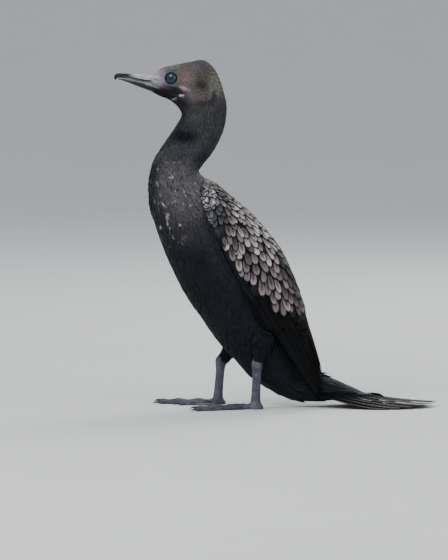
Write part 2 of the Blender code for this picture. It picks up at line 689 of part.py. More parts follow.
def build_leg(leg):
    """Thigh and shank along one line from inside the torso to the ankle, and the foot under it."""
    hip, knee, heel, ankle = (np.array([p[0], leg.side * p[2], p[1]]) for p in leg[2:6])
    bend = (heel - knee) / np.linalg.norm(heel - knee) + (ankle - heel) / np.linalg.norm(ankle - heel)
    bend /= np.linalg.norm(bend)
    upper, lower = UPPER_THIGH[0], LOWER_THIGH[0]
    thigh = tube([
        round_ring(hip, knee - hip, THIGH_RADII),
        round_ring(hip + (knee - hip) * upper, knee - hip, THIGH_RADII, UPPER_THIGH[1:]),
        round_ring(knee, heel - hip, THIGH_RADII, KNEE_SHARES),
        round_ring(knee + (heel - knee) * lower, heel - knee, HEEL_RADII, LOWER_THIGH[1:]),
        round_ring(heel - bend * HEEL_OVERLAP, bend, HEEL_RADII),
    ])
    build(f"thigh_{leg.name}", thigh, [], [torso_cutter()], BLACK, 0.7)
    shank = tube([
        round_ring(heel - bend * (HEEL_OVERLAP - GAP), bend, HEEL_RADII, SHANK_TOP),
        round_ring(heel + bend * HEEL_DROP, bend, HEEL_RADII, SHANK_HEEL),
        round_ring(heel + (ankle - heel) * SHANK_STRAIGHT[0], ankle - heel, SHANK_RADII),
        round_ring(heel + (ankle - heel) * SHANK_STRAIGHT[1], ankle - heel, SHANK_RADII),
        round_ring(ankle, -UP, ANKLE_RADII),
    ])
    build(f"shank_{leg.name}", shank, [], [], SLATE, 0.5)
    build_foot(leg, ankle)


def toe_line(ankle, leg, toe):
    """The floor-level start and end of a toe."""
    angle = math.radians(leg.yaw + toe.angle)
    heading = np.array([-math.cos(angle), leg.side * math.sin(angle), 0.0])
    return np.array([ankle[0], ankle[1], 0.0]), heading


def build_foot(leg, ankle):
    """Four webbed toes that all rest on the floor, each with its claw."""
    pieces, tips = [], []
    for toe in TOES:
        start, heading = toe_line(ankle, leg, toe)
        side = np.array([-heading[1], heading[0], 0.0])
        rings = []
        for t in TOE_STATIONS:
            knuckle = 1 + KNUCKLE * math.cos(math.pi * KNUCKLE_WAVES * t)
            radius = toe.radius * (1 - TOE_TAPER * max(t, 0.0)) * knuckle
            radius *= TOE_END if t in (TOE_STATIONS[0], TOE_STATIONS[-1]) else 1.0
            raised = radius * TOE_HEIGHT + INSTEP_SLOPE * max(0.0, INSTEP_LENGTH - t)
            rings.append(flat_ring(start + heading * toe.length * t + UP * raised, side, radius))
        pieces.append(tube(rings))
        tip = start + heading * toe.length
        pieces.append(claw(tip, heading, side, toe))
        tips.append((start, tip))
    for (start, tip), (_, other) in zip(tips, tips[1:]):
        pieces.append(web(start, tip, other))
    rise = np.linspace(0.0, FOOT_TOP - GAP, len(FOOT_BLOCK_RADII))
    block = [
        round_ring(np.array([ankle[0], ankle[1], z]), -UP, (radius, radius * FOOT_BLOCK_WIDTH))
        for z, radius in zip(rise, FOOT_BLOCK_RADII)
    ]
    build(f"foot_{leg.name}", tube(block), pieces, [], SLATE, 0.5)


def flat_ring(centre, side, radius, sides=8):
    """A toe's ring, flat where it rests on the floor."""
    turns = [2 * math.pi * (k + 0.5) / sides for k in range(sides)]
    points = [centre + side * radius * math.cos(t) + UP * radius * math.sin(t) for t in turns]
    return np.array([np.array([p[0], p[1], max(p[2], 0.0)]) for p in points])


def claw(tip, heading, side, toe):
    """A curved claw that bends down to the floor."""
    rings = []
    for t, radius in CLAW_RINGS:
        out = max(t, 0.0)
        height = CLAW_ROOT_HEIGHT + CLAW_ARCH * math.sin(2.4 * out) - CLAW_DROP * out
        place = tip + heading * toe.claw * t + UP * height
        turns = [2 * math.pi * k / CLAW_SIDES for k in range(CLAW_SIDES)]
        ring = [place + radius * (side * CLAW_WIDTH * math.cos(a) + UP * math.sin(a)) for a in turns]
        rings.append(np.array([np.array([p[0], p[1], max(p[2], 0.0)]) for p in ring]))
    return tube(rings)


def web(start, tip, other):
    """The web between two toes, with its front edge drawn in between their tips."""
    inner, outer = [], []
    for t in np.linspace(0, 1, 5):
        edge = tip + (other - tip) * t
        reach = WEB_REACH - WEB_SAG * math.sin(math.pi * t)
        outer.append(start + (edge - start) * reach + UP * WEB_TOP)
        inner.append(start + (edge - start) * WEB_ROOT + UP * (WEB_TOP + WEB_ROOT_RISE))
    return slab(inner, outer, WEB_TOP)


def centre_on_floor():
    """Hangs every node on an empty that brings the middle of the bird's box over the origin."""
    bpy.context.view_layer.update()
    corners = [v.co for o in bpy.data.objects if o.type == "MESH" for v in o.data.vertices]
    places = np.array([tuple(c) for c in corners])
    low, high = places.min(axis=0), places.max(axis=0)
    root = bpy.data.objects.new("bird", None)
    bpy.context.scene.collection.objects.link(root)
    root.location = (-(low[0] + high[0]) / 2, -(low[1] + high[1]) / 2, -low[2])
    for made in [o for o in bpy.data.objects if o.type == "MESH"]:
        made.parent = root


def main():
    """Builds every node of the bird."""
    for old in list(bpy.data.objects):
        bpy.data.objects.remove(old)
    build_skin()
    build_bill()
    build_wings()
    build_tail()
    for leg in LEGS:
        build_leg(leg)
    centre_on_floor()


main()
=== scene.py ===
"""The looks of a little black cormorant, life size, that stands on a pale studio floor.

The bird faces -X, its left side is -Y and the floor is z = 0. Sizes are in millimetres, measured from the
bird's own drawing, whose zero lies under the neck. Drawing.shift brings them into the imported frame.
One skin covers head, neck, body, thighs and the root of the tail. Feathers are set on it by Geometry Nodes,
and the feathers of wings and tail are swept one by one along the surfaces that they lie on.
"""

import json
import logging
import math
from dataclasses import dataclass, field
from enum import Enum, IntEnum

import bmesh
import bpy
import numpy as np
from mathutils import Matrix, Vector, kdtree

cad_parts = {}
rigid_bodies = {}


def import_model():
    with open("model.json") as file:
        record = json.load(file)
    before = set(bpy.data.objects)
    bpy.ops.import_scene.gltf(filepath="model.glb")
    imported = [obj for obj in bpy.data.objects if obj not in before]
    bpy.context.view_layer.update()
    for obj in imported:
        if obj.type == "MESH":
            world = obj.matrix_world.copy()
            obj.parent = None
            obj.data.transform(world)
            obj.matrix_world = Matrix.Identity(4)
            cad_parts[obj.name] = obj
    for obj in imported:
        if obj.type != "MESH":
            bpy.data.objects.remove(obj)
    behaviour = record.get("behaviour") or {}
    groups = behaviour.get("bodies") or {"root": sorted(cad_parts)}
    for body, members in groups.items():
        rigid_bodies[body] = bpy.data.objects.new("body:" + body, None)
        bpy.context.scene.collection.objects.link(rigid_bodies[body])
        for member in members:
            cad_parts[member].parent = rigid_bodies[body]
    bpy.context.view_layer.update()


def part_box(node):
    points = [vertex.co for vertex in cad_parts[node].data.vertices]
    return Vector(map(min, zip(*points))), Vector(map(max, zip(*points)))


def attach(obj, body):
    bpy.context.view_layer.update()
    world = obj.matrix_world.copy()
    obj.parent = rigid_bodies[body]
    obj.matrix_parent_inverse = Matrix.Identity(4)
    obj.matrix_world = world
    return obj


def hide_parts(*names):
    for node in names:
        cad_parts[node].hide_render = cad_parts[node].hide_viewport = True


MM = 0.001
UP = np.array([0.0, 0.0, 1.0])
BAKE_PATCH = 0.003

log = logging.getLogger("cormorant")


class Side(Enum):
    """The two sides of the bird, with the sign of y that each lies on."""

    LEFT = -1
    RIGHT = 1

    @property
    def word(self) -> str:
        """The side's name in lower case."""
        return self.name.lower()


class Region(IntEnum):
    """The tracts of small feathers."""

    FACE = 0
    HEAD = 1
    NECK = 2
    BREAST = 3
    BELLY = 4
    RUMP = 5
    THIGH = 6
    TAIL_COVERTS = 7
    FLANK = 8


# Numbers and meshes


def spline(rows: np.ndarray, at: np.ndarray) -> np.ndarray:
    """Reads a Catmull-Rom curve through rows of numbers.

    Args:
        rows: The numbers of each knot, one knot to a row.
        at: Real knot numbers.

    Returns:
        One row of numbers for each value of at.
    """
    rows, at = np.asarray(rows, float), np.atleast_1d(np.asarray(at, float))
    last = len(rows) - 1
    at = np.clip(at, 0.0, last)
    knot = np.minimum(at.astype(int), last - 1)
    t = (at - knot)[:, None]
    before, start, end, after = (rows[np.clip(knot + k, 0, last)] for k in (-1, 0, 1, 2))
    cubic = 3 * start + after - before - 3 * end
    square = 2 * before + 4 * end - 5 * start - after
    return start + 0.5 * ((end - before) * t + square * t**2 + cubic * t**3)


def unit(vectors: np.ndarray) -> np.ndarray:
    """Vectors of length one."""
    return vectors / np.maximum(np.linalg.norm(vectors, axis=-1, keepdims=True), 1e-12)


def smooth(low: float, high: float, value: np.ndarray) -> np.ndarray:
    """A soft step from 0 at low to 1 at high."""
    t = np.clip((np.asarray(value, float) - low) / (high - low), 0.0, 1.0)
    return t * t * (3 - 2 * t)


def between(ends: tuple[float, float], share: float) -> float:
    """The value that lies a share of the way from the first end to the second."""
    return float(np.interp(share, (0, 1), ends))


def full_turn(count: int) -> np.ndarray:
    """Evenly spread angles of one full turn."""
    return 2 * math.pi * np.arange(count) / count


def blend(base: np.ndarray, share: np.ndarray, colour: tuple) -> np.ndarray:
    """Lays one colour over many, each as strongly as its share says."""
    return base * (1 - share[:, None]) + np.array(colour) * share[:, None]


def new_mesh_object(name: str, points: np.ndarray, faces: list) -> bpy.types.Object:
    """Makes a mesh object at the origin.

    Args:
        name: The object's name.
        points: Places in millimetres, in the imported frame.
        faces: Tuples of point numbers.

    Returns:
        The linked object, shaded smooth.
    """
    mesh = bpy.data.meshes.new(name)
    mesh.from_pydata((np.asarray(points) * MM).tolist(), [], [tuple(map(int, face)) for face in faces])
    mesh.shade_smooth()
    made = bpy.data.objects.new(name, mesh)
    bpy.context.scene.collection.objects.link(made)
    return made


def fetched(items: bpy.types.bpy_prop_collection, key: str, kind: type = np.int32,
            width: int = 1) -> np.ndarray:
    """Reads one property of every item in one of a mesh's lists.

    Args:
        items: The list.
        key: The property's name.
        kind: The type of its numbers.
        width: How many numbers it holds.

    Returns:
        The numbers, one item after the other.
    """
    flat = np.empty(len(items) * width, kind)
    items.foreach_get(key, flat)
    return flat


def coordinates(mesh: bpy.types.Mesh) -> np.ndarray:
    """A mesh's points in millimetres."""
    return fetched(mesh.vertices, "co", np.float32, 3).reshape(-1, 3).astype(float) / MM


def move_points(mesh: bpy.types.Mesh, points: np.ndarray) -> None:
    """Gives a mesh's points new places in millimetres."""
    mesh.vertices.foreach_set("co", (points * MM).astype(np.float32).ravel())
    mesh.update()


def keep_above_floor(mesh: bpy.types.Mesh, lowest: float = 0.02) -> None:
    """Lays every point that would reach through the floor on it."""
    points = coordinates(mesh)
    points[:, 2] = np.maximum(points[:, 2], lowest)
    move_points(mesh, points)


def vertex_normals(mesh: bpy.types.Mesh) -> np.ndarray:
    """A mesh's point normals."""
    return fetched(mesh.vertex_normals, "vector", np.float32, 3).reshape(-1, 3).astype(float)


def store(mesh: bpy.types.Mesh, name: str, values: np.ndarray, domain: str = "POINT") -> None:
    """Stores a named attribute of a mesh.

    Args:
        mesh: The mesh.
        name: The attribute's name.
        values: One whole number, number or vector for each point or face.
        domain: What the values belong to.
    """
    values = np.asarray(values)
    whole, vector = values.dtype.kind == "i", values.ndim == 2
    attribute = mesh.attributes.new(name, "INT" if whole else "FLOAT_VECTOR" if vector else "FLOAT", domain)
    flat = np.ascontiguousarray(values, np.int32 if whole else np.float32).ravel()
    attribute.data.foreach_set("vector" if vector else "value", flat)


def store_uv(mesh: bpy.types.Mesh, name: str, per_corner: np.ndarray) -> None:
    """Adds a UV map from one pair of numbers for each face corner."""
    layer = mesh.uv_layers.new(name=name)
    layer.uv.foreach_set("vector", np.ascontiguousarray(per_corner, np.float32).ravel())


def corner_points(mesh: bpy.types.Mesh) -> np.ndarray:
    """The point number of each face corner."""
    return fetched(mesh.loops, "vertex_index")


def nearest(known: np.ndarray, places: np.ndarray) -> tuple[np.ndarray, np.ndarray]:
    """Finds the known point nearest to each place.

    Args:
        known: The known points.
        places: The places.

    Returns:
        The nearest point's number and how far off it is, for each place.
    """
    tree = kdtree.KDTree(len(known))
    for number, point in enumerate(known):
        tree.insert(point, number)
    tree.balance()
    found = [tree.find(place) for place in places]
    return np.array([hit[1] for hit in found]), np.array([hit[2] for hit in found])


def collected(name: str, shapes: list[bpy.types.Object]) -> bpy.types.Collection:
    """Moves objects into a new collection of their own."""
    made = bpy.data.collections.new(name)
    bpy.context.scene.collection.children.link(made)
    for shape in shapes:
        bpy.context.scene.collection.objects.unlink(shape)
        made.objects.link(shape)
    return made


def discard(collection: bpy.types.Collection) -> None:
    """Removes a collection with its objects."""
    for shape in list(collection.objects):
        bpy.data.objects.remove(shape)
    bpy.data.collections.remove(collection)


def baked_from(host: bpy.types.Object, name: str) -> bpy.types.Object:
    """Turns a host object with live modifiers into a plain mesh object, and removes the host.

    Args:
        host: The object whose modifiers are applied.
        name: The name of the result.

    Returns:
        The new object.
    """
    bpy.context.view_layer.update()
    graph = bpy.context.evaluated_depsgraph_get()
    source = host.evaluated_get(graph)
    mesh = bpy.data.meshes.new_from_object(source, preserve_all_data_layers=True, depsgraph=graph)
    mesh.name = name
    bpy.data.objects.remove(host)
    made = bpy.data.objects.new(name, mesh)
    bpy.context.scene.collection.objects.link(made)
    return made


def joined(parts: list[tuple[np.ndarray, list]]) -> tuple[np.ndarray, list]:
    """One set of points and faces from several."""
    points, faces, base = [], [], 0
    for part_points, part_faces in parts:
        points.append(np.asarray(part_points, float))
        faces += [tuple(int(k) + base for k in face) for face in part_faces]
        base += len(part_points)
    return np.concatenate(points), faces


def tube(rings: np.ndarray) -> tuple[np.ndarray, list]:
    """A closed tube through rings of points, with a fan over each end.

    Args:
        rings: An array of rings, points and coordinates.

    Returns:
        Points and faces, the faces pointing outwards where each ring runs clockwise seen from ahead.
    """
    count, sides = rings.shape[:2]
    points = np.concatenate([rings.reshape(-1, 3), [rings[0].mean(0), rings[-1].mean(0)]])
    faces = []
    for i in range(count - 1):
        for k in range(sides):
            a, b = i * sides + k, i * sides + (k + 1) % sides
            faces.append((a, b, b + sides, a + sides))
    first, last, end = len(points) - 2, len(points) - 1, (count - 1) * sides
    for k in range(sides):
        faces.append((first, (k + 1) % sides, k))
        faces.append((last, end + k, end + (k + 1) % sides))
    return points, faces


def slab(top: np.ndarray, low: np.ndarray) -> tuple[np.ndarray, list]:
    """A closed sheet between two grids of points, with a rim all round.

    Args:
        top: The upper grid, as rows, columns and coordinates.
        low: The lower grid, of the same size.

    Returns:
        Points and faces.
    """
    rows, columns = top.shape[:2]
    n = rows * columns
    grid = np.arange(n).reshape(rows, columns)
    faces = []
    for i in range(rows - 1):
        for k in range(columns - 1):
            a, b, c, d = grid[i, k], grid[i + 1, k], grid[i + 1, k + 1], grid[i, k + 1]
            faces += [(a, b, c, d), (a + n, d + n, c + n, b + n)]
    border = [*grid[0], *grid[1:, -1], *grid[-1, -2::-1], *grid[-2:0:-1, 0]]
    faces += [(p, q, q + n, p + n) for p, q in zip(border, border[1:] + border[:1])]
    return np.concatenate([top.reshape(-1, 3), low.reshape(-1, 3)]), faces


def face_outwards(made: bpy.types.Object) -> None:
    """Merges doubles and turns every face outwards."""
    shape = bmesh.new()
    shape.from_mesh(made.data)
    bmesh.ops.remove_doubles(shape, verts=shape.verts, dist=1e-6)
    bmesh.ops.recalc_face_normals(shape, faces=shape.faces)
    shape.to_mesh(made.data)
    shape.free()
    made.data.shade_smooth()


def remeshed(made: bpy.types.Object, voxel: float, rounds: int) -> bpy.types.Object:
    """Fuses overlapping closed shapes into one smooth surface.

    Args:
        made: The object that holds the shapes.
        voxel: Size of the grid in millimetres.
        rounds: How often the result is smoothed.

    Returns:
        The new object, under the same name.
    """
    name = made.name
    face_outwards(made)
    grid = made.modifiers.new("grid", "REMESH")
    grid.mode, grid.voxel_size, grid.use_smooth_shade = "VOXEL", voxel * MM, True
    relax = made.modifiers.new("relax", "SMOOTH")
    relax.factor, relax.iterations = 0.5, rounds
    return baked_from(made, name)


@dataclass(frozen=True)
class Marking:
    """A soft-edged patch of colour, as an ellipse seen from the bird's side.

    The spot and the two radii are in millimetres of the drawing, and the tilt is in degrees, nose up.
    """

    spot: tuple[float, float]
    radius: tuple[float, float]
    colour: tuple[float, float, float]
    strength: float = 1.0
    soft: float = 0.6
    tilt: float = 0.0

    def share(self, flat: np.ndarray) -> np.ndarray:
        """How much of the patch's colour lies on places given by their x and z."""
        turn = math.radians(self.tilt)
        off = flat - np.array(self.spot)
        fore = off[:, 0] * math.cos(turn) + off[:, 1] * math.sin(turn)
        rise = off[:, 1] * math.cos(turn) - off[:, 0] * math.sin(turn)
        reach = np.hypot(fore / self.radius[0], rise / self.radius[1])
        return self.strength * (1 - smooth(1 - self.soft, 1 + self.soft, reach))

    def paint(self, flat: np.ndarray, under: np.ndarray) -> np.ndarray:
        """Lays the patch over colours."""
        return blend(under, self.share(flat), self.colour)


# The bird's form


@dataclass
class Drawing:
    """Brings the bird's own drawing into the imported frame."""

    bill_tip_x: float = -121.7

    def __post_init__(self) -> None:
        """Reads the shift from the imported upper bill."""
        self.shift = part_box("bill_upper")[0].x / MM - self.bill_tip_x

    def place(self, points: np.ndarray) -> np.ndarray:
        """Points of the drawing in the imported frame, in millimetres."""
        return np.asarray(points, float) + np.array([self.shift, 0.0, 0.0])

    def flat(self, places: np.ndarray) -> np.ndarray:
        """The x and z of packed places, in the drawing."""
        return places[..., (0, 2)] - [self.shift, 0.0]


def eye_centre(side: Side) -> np.ndarray:
    """The middle of a packed eye, in millimetres."""
    low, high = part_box(f"eye_{side.word}")
    return np.array((low + high) / 2) / MM


@dataclass
class BodyForm:
    """The surface of head, neck, body and tail root, drawn through elliptical sections.

    Each section holds the x and z of a point on the back, the x and z of one on the front, and a half width.
    """

    drawing: Drawing
    sections: tuple = (
        (-79.8, 349.0, -81.9, 331.0, 6.8),
        (-70.9, 356.5, -73.5, 326.4, 9.8),
        (-56.7, 360.0, -64.6, 322.8, 13.0),
        (-41.0, 363.1, -56.7, 317.0, 16.0),
        (-27.3, 364.4, -52.5, 311.3, 17.8),
        (-15.8, 355.0, -51.2, 307.7, 18.4),
        (-8.4, 339.2, -51.7, 304.5, 18.2),
        (-3.4, 318.2, -54.6, 299.2, 17.6),
        (-4.2, 300.3, -60.4, 290.3, 17.6),
        (-8.9, 284.6, -66.7, 281.4, 18.2),
        (-17.3, 268.3, -73.2, 271.9, 19.5),
        (-26.2, 256.7, -79.6, 261.4, 22.0),
        (-31.5, 247.8, -83.8, 248.9, 26.0),
        (-24.2, 239.4, -86.2, 234.2, 31.5),
        (-8.4, 227.9, -85.4, 213.2, 37.5),
        (8.4, 211.1, -79.6, 192.2, 41.5),
        (25.2, 191.1, -71.4, 168.0, 43.5),
        (39.9, 168.0, -61.0, 143.8, 44.0),
        (50.4, 143.8, -48.8, 119.7, 43.5),
        (58.8, 118.7, -32.4, 95.5, 42.0),
        (64.0, 93.5, -15.4, 71.4, 38.5),
        (68.2, 70.4, 2.1, 52.0, 31.5),
        (72.5, 51.5, 21.0, 31.5, 23.5),
        (75.6, 38.9, 48.3, 13.7, 18.0),
        (87.0, 37.0, 66.0, 7.5, 18.2),
        (101.0, 32.5, 88.0, 6.0, 17.8),
        (117.0, 25.5, 110.0, 7.5, 16.5),
        (134.0, 17.5, 131.0, 9.0, 13.0),
        (146.0, 13.0, 145.0, 9.5, 6.0),
    )

    @property
    def last(self) -> float:
        """The number of the last section."""
        return len(self.sections) - 1.0

    def points(self, at: np.ndarray, turn: np.ndarray, inset: np.ndarray | float = 0.0) -> np.ndarray:
        """Points on the surface.

        Args:
            at: Section numbers.
            turn: Share of a full turn, from the back through the left side and the front.
            inset: How far inside the surface the point lies.

        Returns:
            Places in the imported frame, in millimetres.
        """
        row = spline(np.array(self.sections), at)
        back, front, wide = row[:, 0:2], row[:, 2:4], row[:, 4]
        across = front - back
        span = np.linalg.norm(across, axis=1)
        angle = 2 * math.pi * np.asarray(turn, float)
        middle = (back + front) / 2
        place = middle - across / span[:, None] * (np.cos(angle) * (span / 2 - inset))[:, None]
        y = -(wide - inset) * np.sin(angle)
        return self.drawing.place(np.stack([place[:, 0], y, place[:, 1]], axis=1))

    def lie(self, at: np.ndarray, turn: np.ndarray) -> np.ndarray:
        """The way that feathers point, from the bill to the tail."""
        step = 0.05
        return unit(self.points(np.minimum(at + step, self.last), turn) - self.points(at - step, turn))


@dataclass(frozen=True)
class Limb:
    """A leg: side, and hip, knee, heel and ankle as x, z and distance from the middle."""

    side: Side
    hip: tuple[float, float, float]
    knee: tuple[float, float, float]
    heel: tuple[float, float, float]
    ankle: tuple[float, float, float]
    yaw: float = 5.0

    def joint(self, name: str, drawing: Drawing) -> np.ndarray:
        """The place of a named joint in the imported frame."""
        x, z, y = getattr(self, name)
        return drawing.place(np.array([x, self.side.value * y, z]))


LEGS = (
    Limb(Side.LEFT, (36.0, 86.0, 29.5), (33.5, 66.0, 31.5), (28.4, 47.0, 31.0), (26.8, 8.6, 29.5)),
    Limb(Side.RIGHT, (14.0, 82.0, 27.0), (3.0, 62.0, 30.0), (-9.5, 45.0, 30.0), (-12.6, 8.6, 29.5)),
)


def leg_ring(centre: np.ndarray, ahead: np.ndarray, deep: float, wide: float, sides: int) -> np.ndarray:
    """An elliptical ring square to a leg's line: deep fore and aft, wide from side to side."""
    side = np.array([0.0, 1.0, 0.0])
    fore = unit(np.cross(side, unit(ahead)))
    turn = full_turn(sides)[:, None]
    return centre + fore * deep * np.cos(turn) + side * wide * np.sin(turn)


@dataclass
class WingForm:
    """The outer surface of a folded wing.

    Each row holds the x and z of the upper edge, those of the lower edge, and how far from the bird's middle
    the upper and the lower edge lie. Along runs from the shoulder to the wing tip, across from the upper edge
    to the lower one.
    """

    drawing: Drawing
    side: Side
    rows: tuple = (
        (-27.3, 240.5, -31.5, 227.9, 13.0, 31.0),
        (-14.7, 234.2, -25.2, 212.1, 8.0, 41.5),
        (2.1, 220.5, -17.9, 194.2, 4.0, 47.0),
        (21.0, 204.8, -9.5, 175.3, 2.0, 50.0),
        (37.8, 185.8, -1.1, 157.5, 1.5, 51.0),
        (53.6, 164.8, 9.5, 137.6, 1.5, 50.5),
        (65.1, 140.7, 21.0, 115.5, 2.0, 49.0),
        (74.5, 117.6, 33.6, 91.4, 3.5, 46.0),
        (81.9, 90.3, 49.4, 67.2, 8.0, 42.0),
        (88.6, 60.9, 67.2, 41.0, 16.0, 35.0),
        (98.4, 14.5, 93.0, 5.5, 24.5, 28.5),
    )

    def points(self, along: np.ndarray, across: np.ndarray) -> np.ndarray:
        """Points on the wing's outer surface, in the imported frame."""
        along = np.atleast_1d(np.asarray(along, float))
        row = spline(np.array(self.rows), along * (len(self.rows) - 1))
        angle = np.asarray(across, float) * math.pi / 2
        share = (1 - np.cos(angle))[:, None]
        flat = row[:, 0:2] + (row[:, 2:4] - row[:, 0:2]) * share
        y = self.side.value * (row[:, 4] + (row[:, 5] - row[:, 4]) * np.sin(angle))
        return self.drawing.place(np.stack([flat[:, 0], y, flat[:, 1]], axis=1))

    def slopes(self, along: np.ndarray, across: np.ndarray) -> tuple[np.ndarray, np.ndarray, np.ndarray]:
        """The surface's change with along and with across, and its outward normal."""
        step = 0.01
        low, high = np.clip(along - step, 0.0, 1.0), np.clip(along + step, 0.0, 1.0)
        back = (self.points(high, across) - self.points(low, across)) / (high - low)[:, None]
        down = (self.points(along, across + step) - self.points(along, across - step)) / (2 * step)
        outward = np.cross(down, back) * -self.side.value
        return back, down, unit(outward)


# Feathers


@dataclass(frozen=True)
class Vane:
    """The build of one feather's blade: a thin lens of a mesh, raised at its shaft."""

    columns: int = 7
    stations: int = 9
    edge: float = 0.10
    middle: float = 0.42
    shaft: float = 0.22
    camber: float = 0.45
    root_width: float = 0.30
    tip_power: float = 5.0
    point: float = 0.10
    fray: float = 0.0

    def outline(self, t: np.ndarray) -> np.ndarray:
        """Half the blade's width along its length, as a share of the fullest."""
        swell = self.root_width + (1 - self.root_width) * np.sin(np.minimum(t / 0.62, 1.0) * math.pi / 2)
        return np.maximum(swell * np.sqrt(np.maximum(1 - t**self.tip_power, 0.0)), 0.05)

    def faces(self) -> list:
        """Faces of the lens: both skins, which share their rim."""
        n, c = self.stations, self.columns
        top = np.arange(n * c).reshape(n, c)
        low = top.copy()
        low[1:-1, 1:-1] = n * c + np.arange((n - 2) * (c - 2)).reshape(n - 2, c - 2)
        found = []
        for j in range(n - 1):
            for k in range(c - 1):
                found.append((top[j, k], top[j, k + 1], top[j + 1, k + 1], top[j + 1, k]))
                found.append((low[j, k], low[j + 1, k], low[j + 1, k + 1], low[j, k + 1]))
        return found

    def blade(self, path: np.ndarray, normals: np.ndarray, half_width: float, rng: np.random.Generator,
              roll: float = 0.0) -> tuple[np.ndarray, np.ndarray]:
        """Sweeps the blade along a path.

        Args:
            path: One place for each station, in millimetres.
            normals: The way that the blade's upper face looks, at each station.
            half_width: Half of the fullest width.
            rng: Draws the wear of the edge.
            roll: Tilt about the shaft.

        Returns:
            The points, and the share across and along the blade of each.
        """
        t = np.linspace(0.0, 1.0, self.stations)
        k = np.linspace(-1.0, 1.0, self.columns)
        ahead = np.gradient(path, axis=0)
        side = unit(np.cross(ahead, normals))
        up = unit(np.cross(side, ahead))
        wide = half_width * self.outline(t)[:, None] * np.ones_like(k)
        if self.fray:
            worn = rng.uniform(1 - self.fray, 1.0, wide.shape) ** np.abs(k)
            wide = wide * np.where(t[:, None] > 0.25, worn, 1.0)
        length = np.linalg.norm(np.diff(path, axis=0), axis=1).sum()
        pull = -self.point * half_width * np.abs(k) ** 1.5 * smooth(0.3, 1.0, t)[:, None]
        if self.fray:
            splits = rng.uniform(0.0, self.fray * 0.10, wide.shape)
            pull = pull - splits * length * smooth(0.7, 1.0, t)[:, None]
        droop = -self.camber * half_width * 0.35 * k**2 + roll * k
        sag = droop * np.minimum(wide / half_width, 1.0)
        place = path[:, None, :] + side[:, None, :] * (wide * k)[..., None]
        place = place + unit(ahead)[:, None, :] * pull[..., None]
        place = place + up[:, None, :] * sag[..., None]
        thick = self.edge + (self.middle - self.edge) * (1 - np.abs(k)) + self.shaft * (np.abs(k) < 0.01)
        thick = thick * (0.35 + 0.65 * (1 - t[:, None]))
        rim = np.zeros_like(wide, bool)
        rim[0], rim[-1], rim[:, 0], rim[:, -1] = True, True, True, True
        half_thick = up[:, None, :] * (np.where(rim, 0.0, thick) * 0.5)[..., None]
        across = np.broadcast_to((k + 1) / 2, wide.shape)
        along = np.broadcast_to(t[:, None], wide.shape)
        inner = (slice(1, -1), slice(1, -1))
        upper, lower = place + half_thick, (place - half_thick)[inner]
        points = np.concatenate([upper.reshape(-1, 3), lower.reshape(-1, 3)])
        shares = np.stack([across, along], axis=-1)
        return points, np.concatenate([shares.reshape(-1, 2), shares[inner].reshape(-1, 2)])


COVERT = Vane(7, 8, middle=0.4, shaft=0.08, tip_power=3.4, point=0.24, fray=0.12)
QUILL = Vane(7, 20, middle=0.5, shaft=0.35, tip_power=7.0, fray=0.04)
TAIL_FEATHER = Vane(9, 26, edge=0.12, middle=0.55, shaft=0.55, camber=0.25, tip_power=12.0, fray=0.07)


@dataclass
class Plumes:
    """Gathers single feathers into one mesh, each with its own place on the bake map."""

    name: str
    vane: Vane
    points: list = field(default_factory=list)
    shares: list = field(default_factory=list)
    marks: list = field(default_factory=list)

    def add(self, blade: tuple[np.ndarray, np.ndarray], grain: float, centre: np.ndarray) -> None:
        """Adds one feather, with its own grain and the colour of its centre."""
        self.points.append(blade[0])
        self.shares.append(blade[1])
        self.marks.append((grain, *centre))

    def finish(self, material: bpy.types.Material) -> bpy.types.Object:
        """Makes the mesh, with the maps vane_uv and OFBake and the attributes grain and centre."""
        faces, each = self.vane.faces(), len(self.points[0])
        bases = range(0, each * len(self.points), each)
        every = [tuple(k + base for k in face) for base in bases for face in faces]
        made = new_mesh_object(self.name, np.concatenate(self.points), every)
        corners = corner_points(made.data)
        share = np.concatenate(self.shares)[corners]
        store_uv(made.data, "vane_uv", share)
        grid = math.ceil(math.sqrt(len(self.points)))
        number = corners // each
        cell = np.stack([number % grid, number // grid], axis=1)
        store_uv(made.data, "OFBake", (cell + 0.06 + 0.88 * share) / grid)
        marks = np.repeat(np.array(self.marks), each, axis=0)
        store(made.data, "grain", marks[:, 0])
        store(made.data, "centre", marks[:, 1:])
        keep_above_floor(made.data)
        made.data.materials.append(material)
        made.data.shade_smooth()
        return made


# Node trees


